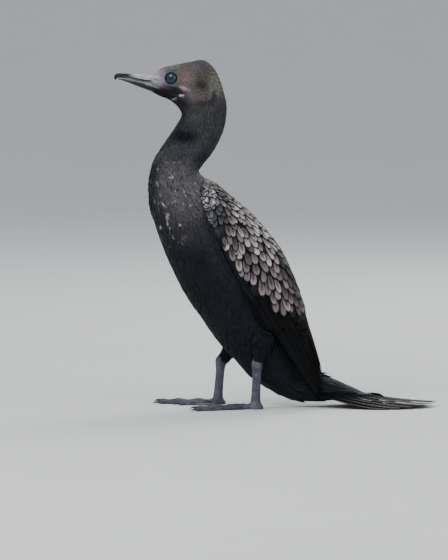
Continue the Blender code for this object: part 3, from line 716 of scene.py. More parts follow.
class Board:
    """Adds and wires the nodes of one tree."""

    def __init__(self, tree: bpy.types.NodeTree) -> None:
        """Takes the tree to work on."""
        self.tree = tree

    @staticmethod
    def socket(sockets: bpy.types.bpy_prop_collection, name: str | int) -> bpy.types.NodeSocket:
        """The socket in use that has this name or number."""
        if isinstance(name, int):
            return [s for s in sockets if s.enabled][name]
        return next(s for s in sockets if s.name == name and s.enabled)

    def add(self, kind: str, settings: dict | None = None, **inputs: object) -> bpy.types.Node:
        """Adds a node.

        Args:
            kind: The node's type.
            settings: Its properties.
            inputs: What feeds its sockets, by name with _ for a space: a value, or a wired output.

        Returns:
            The new node.
        """
        node = self.tree.nodes.new(kind)
        for key, value in (settings or {}).items():
            setattr(node, key, value)
        self.feed_all(node, **inputs)
        return node

    def feed_all(self, node: bpy.types.Node, **inputs: object) -> None:
        """Feeds several input sockets, by name with _ for a space."""
        for key, value in inputs.items():
            self.feed(node, key.replace("_", " "), value)

    def feed(self, node: bpy.types.Node, name: str | int, value: object) -> None:
        """Feeds one input socket with a value or with another node's output."""
        target = self.socket(node.inputs, name)
        if isinstance(value, bpy.types.Node):
            value = self.socket(value.outputs, 0)
        if isinstance(value, bpy.types.NodeSocket):
            self.tree.links.new(value, target)
        else:
            target.default_value = value

    def out(self, node: bpy.types.Node, name: str | int = 0) -> bpy.types.NodeSocket:
        """An output socket of a node."""
        return self.socket(node.outputs, name)

    def maths(self, operation: str, first: object, second: object = 0.0,
              third: object = 0.0) -> bpy.types.NodeSocket:
        """A Math node's result."""
        node = self.tree.nodes.new("ShaderNodeMath")
        node.operation = operation
        for number, value in enumerate((first, second, third)):
            if number < len([s for s in node.inputs if s.enabled]):
                self.feed(node, number, value)
        return self.out(node)

    def vectors(self, operation: str, first: object, second: object) -> bpy.types.NodeSocket:
        """A Vector Math node's result."""
        node = self.tree.nodes.new("ShaderNodeVectorMath")
        node.operation = operation
        self.feed(node, 0, first)
        self.feed(node, 1, second)
        return self.out(node)

    def mix(self, share: object, first: object, second: object) -> bpy.types.NodeSocket:
        """A mix of two colours."""
        node = self.tree.nodes.new("ShaderNodeMix")
        node.data_type = "RGBA"
        self.feed(node, "Factor", share)
        self.feed(node, "A", first)
        self.feed(node, "B", second)
        return self.out(node, "Result")

    def ramp(self, value: object, low: float, high: float) -> bpy.types.NodeSocket:
        """A soft step of a value from 0 at low to 1 at high."""
        node = self.add("ShaderNodeMapRange", {"interpolation_type": "SMOOTHSTEP"}, Value=value,
                        From_Min=low, From_Max=high, To_Min=0.0, To_Max=1.0)
        return self.out(node)

    def scaled(self, vector: object, scale: object) -> bpy.types.NodeSocket:
        """A vector or colour times a number."""
        return self.out(self.add("ShaderNodeVectorMath", {"operation": "SCALE"}, Vector=vector, Scale=scale))

    def read(self, name: str, output: str = "Fac") -> bpy.types.NodeSocket:
        """A mesh attribute, as a number or a colour."""
        return self.out(self.add("ShaderNodeAttribute", {"attribute_name": name}), output)

    def place(self) -> bpy.types.NodeSocket:
        """The place on the object."""
        return self.out(self.add("ShaderNodeTexCoord"), "Object")

    def blade(self) -> bpy.types.NodeSocket:
        """The share across and along a feather's blade."""
        return self.out(self.add("ShaderNodeUVMap", {"uv_map": "vane_uv"}))

    def noise(self, place: object, scale: float, detail: float, output: str = "Fac") -> bpy.types.NodeSocket:
        """A cloudy pattern."""
        return self.out(self.add("ShaderNodeTexNoise", Vector=place, Scale=scale, Detail=detail), output)

    def bump(self, shader: bpy.types.Node, height: object, distance: float, strength: float) -> None:
        """Roughens a shader's surface by a height."""
        node = self.add("ShaderNodeBump", Height=height, Distance=distance, Strength=strength)
        self.feed(shader, "Normal", node)


@dataclass(frozen=True)
class CoatPlan:
    """One tract of small feathers."""

    region: Region
    spacing: float
    lift: float
    scatter: float
    columns: int = 5
    stations: int = 5
    seed: int = 1


COATS = (
    CoatPlan(Region.FACE, 0.85, 5.0, 10.0, 3, 4, 11),
    CoatPlan(Region.HEAD, 1.05, 6.0, 10.0, 3, 4, 12),
    CoatPlan(Region.NECK, 1.45, 6.0, 9.0, 5, 4, 13),
    CoatPlan(Region.BREAST, 2.0, 6.0, 9.0, 5, 5, 14),
    CoatPlan(Region.BELLY, 2.2, 5.0, 8.0, 5, 5, 15),
    CoatPlan(Region.RUMP, 2.2, 5.0, 8.0, 5, 5, 16),
    CoatPlan(Region.THIGH, 1.6, 6.0, 10.0, 5, 4, 17),
    CoatPlan(Region.TAIL_COVERTS, 3.4, 3.0, 6.0, 5, 7, 18),
)
FLANK_COAT = CoatPlan(Region.FLANK, 2.2, 5.0, 8.0, 5, 5, 19)


class CoatTree:
    """The Geometry Nodes that set feathers on the skin of one tract."""

    INPUTS = (
        ("Skin", "NodeSocketGeometry"),
        ("Region", "NodeSocketInt"),
        ("Spacing", "NodeSocketFloat"),
        ("Lift", "NodeSocketFloat"),
        ("Scatter", "NodeSocketFloat"),
        ("Feathers", "NodeSocketCollection"),
        ("Seed", "NodeSocketInt"),
        ("Finish", "NodeSocketMaterial"),
    )

    def __init__(self) -> None:
        """Builds the tree once."""
        self.tree = bpy.data.node_groups.new("feather_coat", "GeometryNodeTree")
        for name, kind in self.INPUTS:
            self.tree.interface.new_socket(name, in_out="INPUT", socket_type=kind)
        self.tree.interface.new_socket("Coat", in_out="OUTPUT", socket_type="NodeSocketGeometry")
        self.board = Board(self.tree)
        self.build()

    def named(self, kind: str, name: str) -> bpy.types.NodeSocket:
        """Reads a named attribute."""
        node = self.board.add("GeometryNodeInputNamedAttribute", {"data_type": kind}, Name=name)
        return self.board.out(node, "Attribute")

    def drawn(self, low: object, high: object, seed: int) -> bpy.types.NodeSocket:
        """A random number for each feather."""
        node = self.board.add("FunctionNodeRandomValue", {"data_type": "FLOAT"}, Min=low, Max=high, Seed=seed)
        return self.board.out(node)

    def build(self) -> None:
        """Wires the tree from the skin to the finished coat."""
        b = self.board
        entry = b.add("NodeGroupInput")
        here = b.add("FunctionNodeCompare", {"data_type": "INT", "operation": "EQUAL"},
                     A=self.named("INT", "region"), B=b.out(entry, "Region"))
        crowd = b.maths("DIVIDE", 1.7, b.maths("MULTIPLY", b.out(entry, "Spacing"), b.out(entry, "Spacing")))
        roots = b.add("GeometryNodeDistributePointsOnFaces", {"distribute_method": "POISSON"},
                      Mesh=b.out(entry, "Skin"), Selection=b.out(here), Distance_Min=b.out(entry, "Spacing"),
                      Density_Max=crowd, Density_Factor=self.named("FLOAT", "coat"),
                      Seed=b.out(entry, "Seed"))
        kept = b.add("GeometryNodeStoreNamedAttribute", {"data_type": "FLOAT_VECTOR", "domain": "POINT"},
                     Geometry=b.out(roots, "Points"), Name="root_uv",
                     Value=self.named("FLOAT_VECTOR", "OFBake"))
        toned = b.add("GeometryNodeStoreNamedAttribute", {"data_type": "FLOAT", "domain": "POINT"},
                      Geometry=kept, Name="grain", Value=self.drawn(0.0, 1.0, 3))
        upright = b.add("FunctionNodeAlignRotationToVector", {"axis": "Z"}, Vector=b.out(roots, "Normal"))
        laid = b.add("FunctionNodeAlignRotationToVector", {"axis": "Y", "pivot_axis": "Z"},
                     Rotation=upright, Vector=self.named("FLOAT_VECTOR", "lie"))
        lift = b.maths("MULTIPLY", b.out(entry, "Lift"), self.drawn(0.5, 1.5, 4))
        less = b.maths("MULTIPLY", b.out(entry, "Scatter"), -1.0)
        ruffle = b.add("ShaderNodeCombineXYZ", X=lift, Y=self.drawn(less, b.out(entry, "Scatter"), 5),
                       Z=self.drawn(less, b.out(entry, "Scatter"), 6))
        ruffled = b.add("FunctionNodeRotateRotation", {"rotation_space": "LOCAL"},
                        Rotation=laid, Rotate_By=b.add("FunctionNodeEulerToRotation", Euler=ruffle))
        grown = b.scaled(self.named("FLOAT_VECTOR", "feather"), self.drawn(0.82, 1.18, 7))
        kinds = b.add("GeometryNodeCollectionInfo", Collection=b.out(entry, "Feathers"),
                      Separate_Children=True, Reset_Children=True)
        chosen = b.add("FunctionNodeRandomValue", {"data_type": "INT"}, Min=0, Max=3, Seed=8)
        set_out = b.add("GeometryNodeInstanceOnPoints", Points=toned, Instance=kinds, Pick_Instance=True,
                        Instance_Index=b.out(chosen), Rotation=ruffled, Scale=grown)
        real = b.add("GeometryNodeRealizeInstances", Geometry=set_out)
        local = b.vectors("SUBTRACT", self.named("FLOAT_VECTOR", "vane_uv"), (0.5, 0.5, 0.0))
        patch = b.vectors("MULTIPLY", local, (BAKE_PATCH, BAKE_PATCH, 0.0))
        spot = b.vectors("ADD", self.named("FLOAT_VECTOR", "root_uv"), patch)
        last = b.add("GeometryNodeStoreNamedAttribute", {"data_type": "FLOAT2", "domain": "CORNER"},
                     Geometry=real, Name="OFBake", Value=spot)
        for name in ("root_uv", "lie", "feather", "coat", "region"):
            last = b.add("GeometryNodeRemoveAttribute", Geometry=last, Name=name)
        finished = b.add("GeometryNodeSetMaterial", Geometry=last, Material=b.out(entry, "Finish"))
        b.add("NodeGroupOutput", Coat=finished)

    def grow(self, skin: bpy.types.Object, plan: CoatPlan, material: bpy.types.Material,
             name: str = "") -> bpy.types.Object:
        """Grows one tract's coat.

        Args:
            skin: The skin, with its attributes.
            plan: Spacing and lie of the tract's feathers.
            material: The finish of the feathers.
            name: A name for the coat, in place of the tract's own.

        Returns:
            A plain mesh of every feather of the tract.
        """
        name = name or f"coat_{plan.region.name.lower()}"
        kinds = self.patterns(name, plan)
        host = bpy.data.objects.new(name + "_host", skin.data)
        bpy.context.scene.collection.objects.link(host)
        modifier = host.modifiers.new("coat", "NODES")
        modifier.node_group = self.tree
        values = {"Region": int(plan.region), "Spacing": plan.spacing * MM, "Seed": plan.seed,
                  "Lift": math.radians(plan.lift), "Scatter": math.radians(plan.scatter),
                  "Feathers": kinds, "Finish": material}
        for item in self.tree.interface.items_tree:
            if item.in_out == "INPUT" and item.name in values:
                modifier[item.identifier] = values[item.name]
        coat = baked_from(host, name)
        keep_above_floor(coat.data)
        discard(kinds)
        return coat

    @staticmethod
    def patterns(name: str, plan: CoatPlan) -> bpy.types.Collection:
        """Four small feathers of length and width one, each worn in its own way."""
        vane = Vane(plan.columns, plan.stations, edge=0.004, middle=0.035, shaft=0.0, camber=0.5,
                    root_width=0.45, tip_power=3.0, fray=0.35)
        rng = np.random.default_rng(plan.seed)
        kinds = []
        for number in range(4):
            t = np.linspace(0.0, 1.0, plan.stations)
            bend = 0.05 * number - 0.06
            path = np.stack([bend * t**2, t, 0.03 - 0.10 * t**2], axis=1)
            normals = np.tile(UP, (plan.stations, 1))
            points, shares = vane.blade(path, normals, 0.5, rng)
            pattern = new_mesh_object(f"{name}_pattern_{number}", points / MM, vane.faces())
            store_uv(pattern.data, "vane_uv", shares[corner_points(pattern.data)])
            kinds.append(pattern)
        return collected(name + "_patterns", kinds)


# Finishes


class Effects:
    """Shader node groups that several finishes share."""

    def __init__(self) -> None:
        """Builds each group once."""
        self.barbs = self.make_barbs()
        self.pebbles = self.make_pebbles()

    @staticmethod
    def group(name: str, inputs: tuple, outputs: tuple) -> tuple[Board, bpy.types.Node, bpy.types.Node]:
        """A new shader group with its board, entry and exit."""
        tree = bpy.data.node_groups.new(name, "ShaderNodeTree")
        for label, kind, value in inputs:
            socket = tree.interface.new_socket(label, in_out="INPUT", socket_type=kind)
            if value is not None:
                socket.default_value = value
        for label, kind in outputs:
            tree.interface.new_socket(label, in_out="OUTPUT", socket_type=kind)
        board = Board(tree)
        return board, board.add("NodeGroupInput"), board.add("NodeGroupOutput")

    def make_barbs(self) -> bpy.types.NodeTree:
        """Slanting barbs on a blade, read from its share across and along."""
        b, entry, exit_ = self.group(
            "barbs", (("Blade", "NodeSocketVector", None), ("Count", "NodeSocketFloat", 30.0),
                      ("Slant", "NodeSocketFloat", 0.5)),
            (("Ridge", "NodeSocketFloat"), ("Rim", "NodeSocketFloat"), ("Tip", "NodeSocketFloat"),
             ("Shaft", "NodeSocketFloat"), ("Line", "NodeSocketFloat"), ("Heart", "NodeSocketFloat")))
        split = b.add("ShaderNodeSeparateXYZ", Vector=b.out(entry, "Blade"))
        away = b.maths("ABSOLUTE", b.maths("MULTIPLY_ADD", b.out(split, "X"), 2.0, -1.0))
        slanted = b.maths("SUBTRACT", b.out(split, "Y"), b.maths("MULTIPLY", away, b.out(entry, "Slant")))
        turns = b.maths("MULTIPLY", b.out(entry, "Count"), 6.2832)
        wave = b.maths("SINE", b.maths("MULTIPLY", slanted, turns))
        b.feed(exit_, "Ridge", b.maths("MULTIPLY_ADD", wave, 0.5, 0.5))
        b.feed(exit_, "Rim", b.ramp(away, 0.43, 0.74))
        b.feed(exit_, "Tip", b.ramp(b.out(split, "Y"), 0.76, 0.91))
        b.feed(exit_, "Shaft", b.ramp(away, 0.12, 0.03))
        b.feed(exit_, "Line", b.ramp(away, 0.78, 0.93))
        low_end = b.ramp(b.out(split, "Y"), 0.76, 0.48)
        b.feed(exit_, "Heart", b.maths("MULTIPLY", b.ramp(away, 0.46, 0.14), low_end))
        return b.tree

    def make_pebbles(self) -> bpy.types.NodeTree:
        """Small rounded scales of bare skin."""
        b, entry, exit_ = self.group(
            "pebbles", (("Place", "NodeSocketVector", None), ("Size", "NodeSocketFloat", 900.0)),
            (("Height", "NodeSocketFloat"),))
        cells = b.add("ShaderNodeTexVoronoi", {"feature": "DISTANCE_TO_EDGE"}, Vector=b.out(entry, "Place"),
                      Scale=b.out(entry, "Size"))
        b.feed(exit_, "Height", b.ramp(b.out(cells, "Distance"), 0.0, 0.25))
        return b.tree


@dataclass
class Finish:
    """A Principled material on a board of its own."""

    name: str
    roughness: float = 0.5
    specular: float = 0.5

    def start(self) -> tuple[bpy.types.Material, Board, bpy.types.Node]:
        """The new material, its board and its shader."""
        material = bpy.data.materials.new(self.name)
        material.use_nodes = True
        board = Board(material.node_tree)
        shader = material.node_tree.nodes["Principled BSDF"]
        board.feed_all(shader, Roughness=self.roughness, Specular_IOR_Level=self.specular)
        return material, board, shader

    @staticmethod
    def grouped(board: Board, tree: bpy.types.NodeTree, **inputs: object) -> bpy.types.Node:
        """Places a shared effect on a board."""
        node = board.tree.nodes.new("ShaderNodeGroup")
        node.node_tree = tree
        board.feed_all(node, **inputs)
        return node


@dataclass
class PlumageFinish(Finish):
    """Small body feathers, in the tints that the skin carries, some with a pale tip."""

    effects: Effects | None = None
    bare: bool = False
    fleck: tuple = (0.22, 0.21, 0.21, 1.0)

    def build(self) -> bpy.types.Material:
        """Builds the material."""
        material, b, shader = self.start()
        tint, grain, place = b.read("tint", "Color"), b.read("grain"), b.place()
        lightness = b.maths("MULTIPLY_ADD", grain, 0.34, 0.83)
        for size, detail, gain, base in ((60.0, 3.0, 1.1, 0.45), (420.0, 2.0, 0.7, 0.65)):
            mottle = b.maths("MULTIPLY_ADD", b.noise(place, size, detail), gain, base)
            lightness = b.maths("MULTIPLY", lightness, mottle)
        tufts = b.noise(place, 170.0, 2.0, "Color")
        hue = b.vectors("ADD", b.vectors("MULTIPLY", tufts, (0.5, 0.4, 0.5)), (0.75, 0.80, 0.75))
        colour = b.scaled(b.vectors("MULTIPLY", tint, hue), lightness)
        if self.bare:
            scales = self.grouped(b, self.effects.pebbles, Place=place, Size=1100.0)
            b.bump(shader, b.out(scales, "Height"), 0.00015, 0.8)
        else:
            blade = b.blade()
            barbs = self.grouped(b, self.effects.barbs, Blade=blade, Count=9.0, Slant=0.35)
            colour = self.flecked(b, colour, blade, grain, place)
            b.bump(shader, b.out(barbs, "Ridge"), 0.00008, 0.6)
        b.feed(shader, "Base Color", colour)
        b.feed(shader, "Roughness", b.maths("MULTIPLY_ADD", grain, 0.2, self.roughness - 0.1))
        b.feed_all(shader, Sheen_Weight=0.03, Sheen_Roughness=0.4, Sheen_Tint=(0.45, 0.60, 0.75, 1.0))
        return material

    def flecked(self, b: Board, colour: bpy.types.NodeSocket, blade: bpy.types.NodeSocket,
                grain: bpy.types.NodeSocket, place: bpy.types.NodeSocket) -> bpy.types.NodeSocket:
        """Puts pale tips on some feathers and pale blots across a few."""
        chance = b.read("fleck")
        marked = b.maths("GREATER_THAN", grain, b.maths("SUBTRACT", 1.0, chance))
        tip = b.ramp(b.out(b.add("ShaderNodeSeparateXYZ", Vector=blade), "Y"), 0.30, 0.90)
        cloud = b.ramp(b.noise(place, 150.0, 1.0), 0.60, 0.78)
        blot = b.maths("MULTIPLY", cloud, b.ramp(chance, 0.005, 0.04))
        share = b.maths("MAXIMUM", b.maths("MULTIPLY", b.maths("MULTIPLY", marked, tip), 0.6), blot)
        return b.mix(share, colour, self.fleck)


@dataclass
class QuillFinish(Finish):
    """Feathers of wings and tail: each its own centre colour inside a black rim, and a thin outer line.

    Hollow is how far the heart of some feathers darkens, which leaves a pale crescent inside the rim. Fringe
    is the share of the centre's colour that the rim takes on.
    """

    effects: Effects | None = None
    rim: tuple = (0.0050, 0.0045, 0.0050, 1.0)
    line: tuple = (0.085, 0.078, 0.072, 1.0)
    line_share: float = 0.0
    hollow: float = 0.0
    fringe: float = 0.0
    sheen: float = 0.0
    shaft_share: float = 0.6
    shaft: tuple = (0.012, 0.011, 0.011, 1.0)
    count: float = 26.0

    def build(self) -> bpy.types.Material:
        """Builds the material."""
        material, b, shader = self.start()
        grain, centre, blade = b.read("grain"), b.read("centre", "Color"), b.blade()
        barbs = self.grouped(b, self.effects.barbs, Blade=blade, Count=self.count, Slant=0.35)
        inside = b.maths("MULTIPLY", b.maths("SUBTRACT", 1.0, b.out(barbs, "Rim")),
                         b.maths("SUBTRACT", 1.0, b.out(barbs, "Tip")))
        patchy = b.ramp(b.maths("MULTIPLY_ADD", b.noise(b.place(), 260.0, 4.0), 0.9, inside), 0.45, 1.15)
        ahead = b.ramp(b.out(b.add("ShaderNodeSeparateXYZ", Vector=blade), "Y"), 0.25, 0.75)
        heart = b.maths("MULTIPLY", b.out(barbs, "Heart"), b.ramp(grain, 0.20, 0.60))
        tone = b.maths("MULTIPLY", b.maths("MULTIPLY_ADD", ahead, 0.55, 0.65),
                       b.maths("MULTIPLY_ADD", heart, -self.hollow, 1.0))
        rim = b.vectors("ADD", b.scaled(centre, self.fringe), self.rim[:3])
        colour = b.mix(b.maths("MULTIPLY", patchy, b.ramp(inside, 0.0, 0.35)), rim, b.scaled(centre, tone))
        colour = b.mix(b.maths("MULTIPLY", b.out(barbs, "Shaft"), self.shaft_share), colour, self.shaft)
        line = b.maths("MULTIPLY", b.ramp(grain, 0.1, 0.9), self.line_share)
        colour = b.mix(b.maths("MULTIPLY", b.out(barbs, "Line"), line), colour, self.line)
        b.feed(shader, "Base Color", colour)
        b.bump(shader, b.out(barbs, "Ridge"), 0.00008, 0.5)
        b.feed(shader, "Roughness", b.maths("MULTIPLY_ADD", grain, 0.2, self.roughness - 0.1))
        b.feed_all(shader, Sheen_Weight=self.sheen, Sheen_Roughness=0.4)
        return material


@dataclass
class HornFinish(Finish):
    """Dark horn of the bill and claws: streaked along its length, paler at the sides of the base."""

    dark: tuple = (0.006, 0.006, 0.007, 1.0)
    light: tuple = (0.50, 0.50, 0.54, 1.0)
    flesh: tuple = (0.30, 0.265, 0.30, 1.0)
    paleness: float = 1.0

    def build(self) -> bpy.types.Material:
        """Builds the material."""
        material, b, shader = self.start()
        stretched = b.vectors("MULTIPLY", b.place(), (60.0, 500.0, 500.0))
        fibres = b.add("ShaderNodeTexNoise", Vector=stretched, Scale=1.0, Detail=5.0, Roughness=0.6)
        streaks, base, root = b.out(fibres, "Fac"), b.read("base"), b.read("root")
        share = b.maths("MULTIPLY", b.ramp(streaks, 0.25, 0.6), b.maths("MULTIPLY", base, self.paleness))
        horn = b.mix(share, self.dark, self.light)
        b.feed(shader, "Base Color", b.mix(b.maths("MULTIPLY", root, self.paleness), horn, self.flesh))
        b.bump(shader, streaks, 0.00025, 0.5)
        b.feed(shader, "Roughness", b.maths("MULTIPLY_ADD", streaks, 0.3, self.roughness - 0.12))
        b.feed_all(shader, Coat_Weight=0.1, Coat_Roughness=0.3)
        return material


@dataclass
class LegFinish(Finish):
    """Scaled slate skin of legs, toes and webs."""

    effects: Effects | None = None
    dark: tuple = (0.022, 0.025, 0.038, 1.0)
    light: tuple = (0.155, 0.162, 0.215, 1.0)
    scale: float = 900.0

    def build(self) -> bpy.types.Material:
        """Builds the material."""
        material, b, shader = self.start()
        place = b.place()
        scales = self.grouped(b, self.effects.pebbles, Place=place, Size=self.scale)
        height, cloud = b.out(scales, "Height"), b.noise(place, 90.0, 4.0)
        share = b.maths("MULTIPLY", height, b.ramp(cloud, 0.3, 0.75))
        b.feed(shader, "Base Color", b.mix(share, self.dark, self.light))
        b.bump(shader, height, 0.0002, 0.7)
        b.feed(shader, "Roughness", b.maths("MULTIPLY_ADD", cloud, 0.25, self.roughness - 0.12))
        return material


@dataclass
class EyeFinish(Finish):
    """A teal iris round a black pupil, under a wet, clear surface."""

    def build(self) -> bpy.types.Material:
        """Builds the material."""
        material, b, shader = self.start()
        polar, flecks = b.read("polar"), b.noise(b.place(), 1500.0, 3.0)
        iris = b.mix(flecks, (0.001, 0.014, 0.016, 1.0), (0.004, 0.046, 0.044, 1.0))
        ring = b.mix(b.ramp(polar, 0.30, 0.46), (0.001, 0.009, 0.010, 1.0), iris)
        b.feed(shader, "Base Color", b.mix(b.ramp(polar, 0.82, 1.02), ring, (0.002, 0.009, 0.012, 1.0)))
        b.feed_all(shader, Coat_Weight=0.4, Coat_Roughness=0.16)
        return material


class Finishes:
    """Every finish of the bird and its stage."""

    def __init__(self) -> None:
        """Builds the shared effects and then the materials."""
        effects = Effects()
        self.skin = PlumageFinish("bare_skin", 0.62, 0.12, effects, True).build()
        self.plumage = PlumageFinish("small_feathers", 0.60, 0.12, effects).build()
        self.wing = QuillFinish("scaly_feathers", 0.55, 0.10, effects, hollow=0.6, fringe=0.08, sheen=0.01,
                                shaft_share=0.25).build()
        self.flight = QuillFinish("flight_feathers", 0.55, 0.03, effects, line_share=0.5, count=60.0).build()
        self.tail = QuillFinish("tail_feathers", 0.50, 0.08, effects, line_share=0.5, sheen=0.01,
                                shaft=(0.07, 0.066, 0.066, 1.0), count=60.0).build()
        self.bill = HornFinish("bill_horn", 0.45, 0.2).build()
        self.claw = HornFinish("claw_horn", 0.32, 0.5, paleness=0.25).build()
        self.leg = LegFinish("leg_skin", 0.5, 0.4, effects).build()
        self.eye = EyeFinish("eye", 0.25, 0.2).build()
        self.floor = self.plain("studio_floor")

    @staticmethod
    def plain(name: str) -> bpy.types.Material:
        """The pale floor, with a faint mottle."""
        material, b, shader = Finish(name, 0.85, 0.2).start()
        cloud = b.noise(b.place(), 6.0, 2.0)
        b.feed(shader, "Base Color", b.mix(cloud, (0.60, 0.60, 0.59, 1.0), (0.64, 0.64, 0.63, 1.0)))
        return material


# Sub-assemblies


@dataclass
class Skin:
    """One skin over head, neck, body, thighs and tail root, which carries the markings of the coat and its
    painted shade, sheen and highlights.
    """

    body: BodyForm
    wings: tuple
    finishes: Finishes
    sides: int = 120
    face_step: float = 0.8
    body_step: float = 2.4
    face_end: float = 4.5
    tail_start: float = 22.6
    thigh_radii: tuple = (12.6, 9.4)
    heel_radii: tuple = (5.2, 4.0)
    eye_clear: float = 7.2
    socket_depth: float = 2.4
    gape: tuple = ((-80.0, 339.4), (-70.9, 334.0), (-60.9, 330.6), (-51.5, 327.6))
    gape_spots: tuple = (
        # Painted highlight: the white spot at the corner of the gape. The second spot is a pale streak.
        Marking((-50.9, 328.1), (2.7, 0.75), (0.85, 0.84, 0.80), soft=0.3, tilt=4.0),
        Marking((-58.8, 324.3), (3.2, 0.7), (0.30, 0.30, 0.28), soft=0.4, tilt=17.0),
    )
    markings: tuple = (
        Marking((-30.5, 349.0), (11.0, 7.5), (0.086, 0.080, 0.066), soft=0.8),
        Marking((-14.5, 342.5), (8.5, 11.0), (0.155, 0.145, 0.127), soft=0.8),
        Marking((-32.0, 361.7), (13.0, 4.2), (0.098, 0.091, 0.104)),
        Marking((-73.5, 355.2), (9.0, 3.6), (0.36, 0.33, 0.345), 0.75, 0.8, 35.0),
        Marking((-62.0, 357.5), (7.0, 2.6), (0.18, 0.17, 0.175), 0.8, 0.8, 14.0),
        Marking((-33.6, 310.8), (13.0, 8.0), (0.040, 0.047, 0.046), soft=0.8),
        Marking((-46.5, 347.0), (7.5, 9.5), (0.165, 0.122, 0.115), soft=0.7),
        Marking((-32.0, 331.0), (9.5, 7.0), (0.105, 0.088, 0.085), soft=0.7),
        Marking((-42.0, 330.2), (4.4, 2.6), (0.10, 0.115, 0.118)),
        Marking((-49.2, 335.8), (5.0, 1.9), (0.38, 0.30, 0.305), 0.9, 0.6, -18.0),
        Marking((-31.5, 339.8), (6.2, 3.4), (0.046, 0.030, 0.026), tilt=-15.0),
        Marking((-27.5, 322.3), (11.0, 3.5), (0.042, 0.029, 0.033), tilt=5.0),
        Marking((-17.3, 328.5), (2.4, 7.0), (0.036, 0.033, 0.035)),
        Marking((-76.5, 345.0), (6.0, 7.5), (0.30, 0.265, 0.30), 0.9, 0.6),
        Marking((-70.3, 345.5), (4.0, 8.0), (0.21, 0.145, 0.215), 0.85, 0.7),
        # Painted highlight: the thin pale line where the bill meets the lores.
        Marking((-78.0, 347.6), (5.0, 0.9), (0.44, 0.42, 0.45), 0.8, 0.7, -8.0),
        Marking((-77.2, 344.0), (4.5, 0.6), (0.10, 0.085, 0.10), 0.8, 0.7, -8.0),
        Marking((-60.5, 333.0), (11.5, 4.6), (0.014, 0.009, 0.014), 0.97, 0.4, -14.0),
        Marking((-67.5, 336.6), (6.0, 2.2), (0.055, 0.030, 0.050), 0.85, 0.6, -8.0),
        Marking((-62.0, 338.2), (6.5, 1.0), (0.075, 0.100, 0.100), 0.7, 0.7, -3.0),
        Marking((-76.0, 338.4), (4.2, 2.0), (0.13, 0.15, 0.18), 0.8, 0.7, -12.0),
        Marking((-70.4, 329.6), (15.0, 3.4), (0.003, 0.003, 0.004), 1.0, 0.35, -20.0),
        Marking((-54.6, 314.0), (11.0, 3.8), (0.008, 0.007, 0.007), 0.95, 0.6, -47.0),
        # Painted shade: dark patches in the bend of the fore-neck and at the back of the lower neck.
        Marking((-46.5, 287.5), (14.0, 6.6), (0.0022, 0.0028, 0.0058), 1.0, 0.6),
        Marking((-26.0, 262.5), (12.0, 7.0), (0.009, 0.010, 0.016), 0.85, 0.7, 55.0),
        # Painted sheen and shade on the belly: lighter, bluer patches where its gloss would catch the light,
        # and a darker band along its front and underside.
        Marking((-13.0, 170.0), (34.0, 13.0), (0.013, 0.0165, 0.021), 0.8, 0.8, -58.0),
        Marking((18.0, 78.0), (28.0, 14.0), (0.0042, 0.0060, 0.0118), 0.8, 0.8, -50.0),
        Marking((-44.0, 128.0), (44.0, 9.0), (0.0020, 0.0028, 0.0038), 0.8, 0.8, -55.0),
    )
    fleck_zones: tuple = (
        Marking((-68.0, 222.0), (24.0, 46.0), (0.05, 0.0, 0.0), soft=0.5),
        Marking((-34.0, 226.0), (12.0, 16.0), (0.035, 0.0, 0.0)),
    )

    def build(self) -> bpy.types.Object:
        """Builds the skin with its attributes and maps.

        Returns:
            The skin's object.
        """
        stations = self.stations()
        turn = np.arange(self.sides) / self.sides
        at, around = (grid.ravel() for grid in np.meshgrid(stations, turn, indexing="ij"))
        rings = self.body.points(at, around, self.inset(at)).reshape(len(stations), self.sides, 3)
        skin = new_mesh_object("skin", *tube(rings))
        face_outwards(skin)
        skin = self.with_thighs(skin)
        self.mark(skin.data)
        self.carve(skin.data)
        skin.data.materials.append(self.finishes.skin)
        skin.data.shade_smooth()
        return skin

    def stations(self) -> np.ndarray:
        """Section numbers of the rings, closest on the face."""
        fine = np.linspace(0.0, self.body.last, 1400)
        back_and_front = [self.body.points(fine, np.full_like(fine, turn)) for turn in (0.0, 0.5)]
        moved = np.maximum(*(np.linalg.norm(np.diff(line, axis=0), axis=1) for line in back_and_front))
        steps = [self.face_step, self.face_step, self.body_step]
        step = np.interp(fine[1:], [0.0, self.face_end, self.face_end + 2], steps)
        count = np.concatenate([[0.0], np.cumsum(moved / step)])
        return np.interp(np.linspace(0.0, count[-1], int(count[-1]) + 1), count, fine)

    def inset(self, at: np.ndarray) -> np.ndarray:
        """Depth of the coat over the skin, by section number."""
        knots = [0.0, 0.12, 0.4, 2.0, 6.0, 12.0, 16.0, 23.0, 28.0]
        return np.interp(at, knots, [0.9, 0.45, 0.3, 0.5, 0.9, 1.2, 1.7, 1.7, 0.8])

    def with_thighs(self, skin: bpy.types.Object) -> bpy.types.Object:
        """Joins the feathered thighs to the skin."""
        rings = ((leg.side.word, self.thigh_rings(leg)) for leg in LEGS)
        shapes = [new_mesh_object(f"thigh_shape_{word}", *tube(ring)) for word, ring in rings]
        for shape in shapes:
            face_outwards(shape)
        thighs = collected("thigh_shapes", shapes)
        union = skin.modifiers.new("thighs", "BOOLEAN")
        union.operation, union.operand_type, union.collection = "UNION", "COLLECTION", thighs
        skin = baked_from(skin, "skin")
        discard(thighs)
        return skin

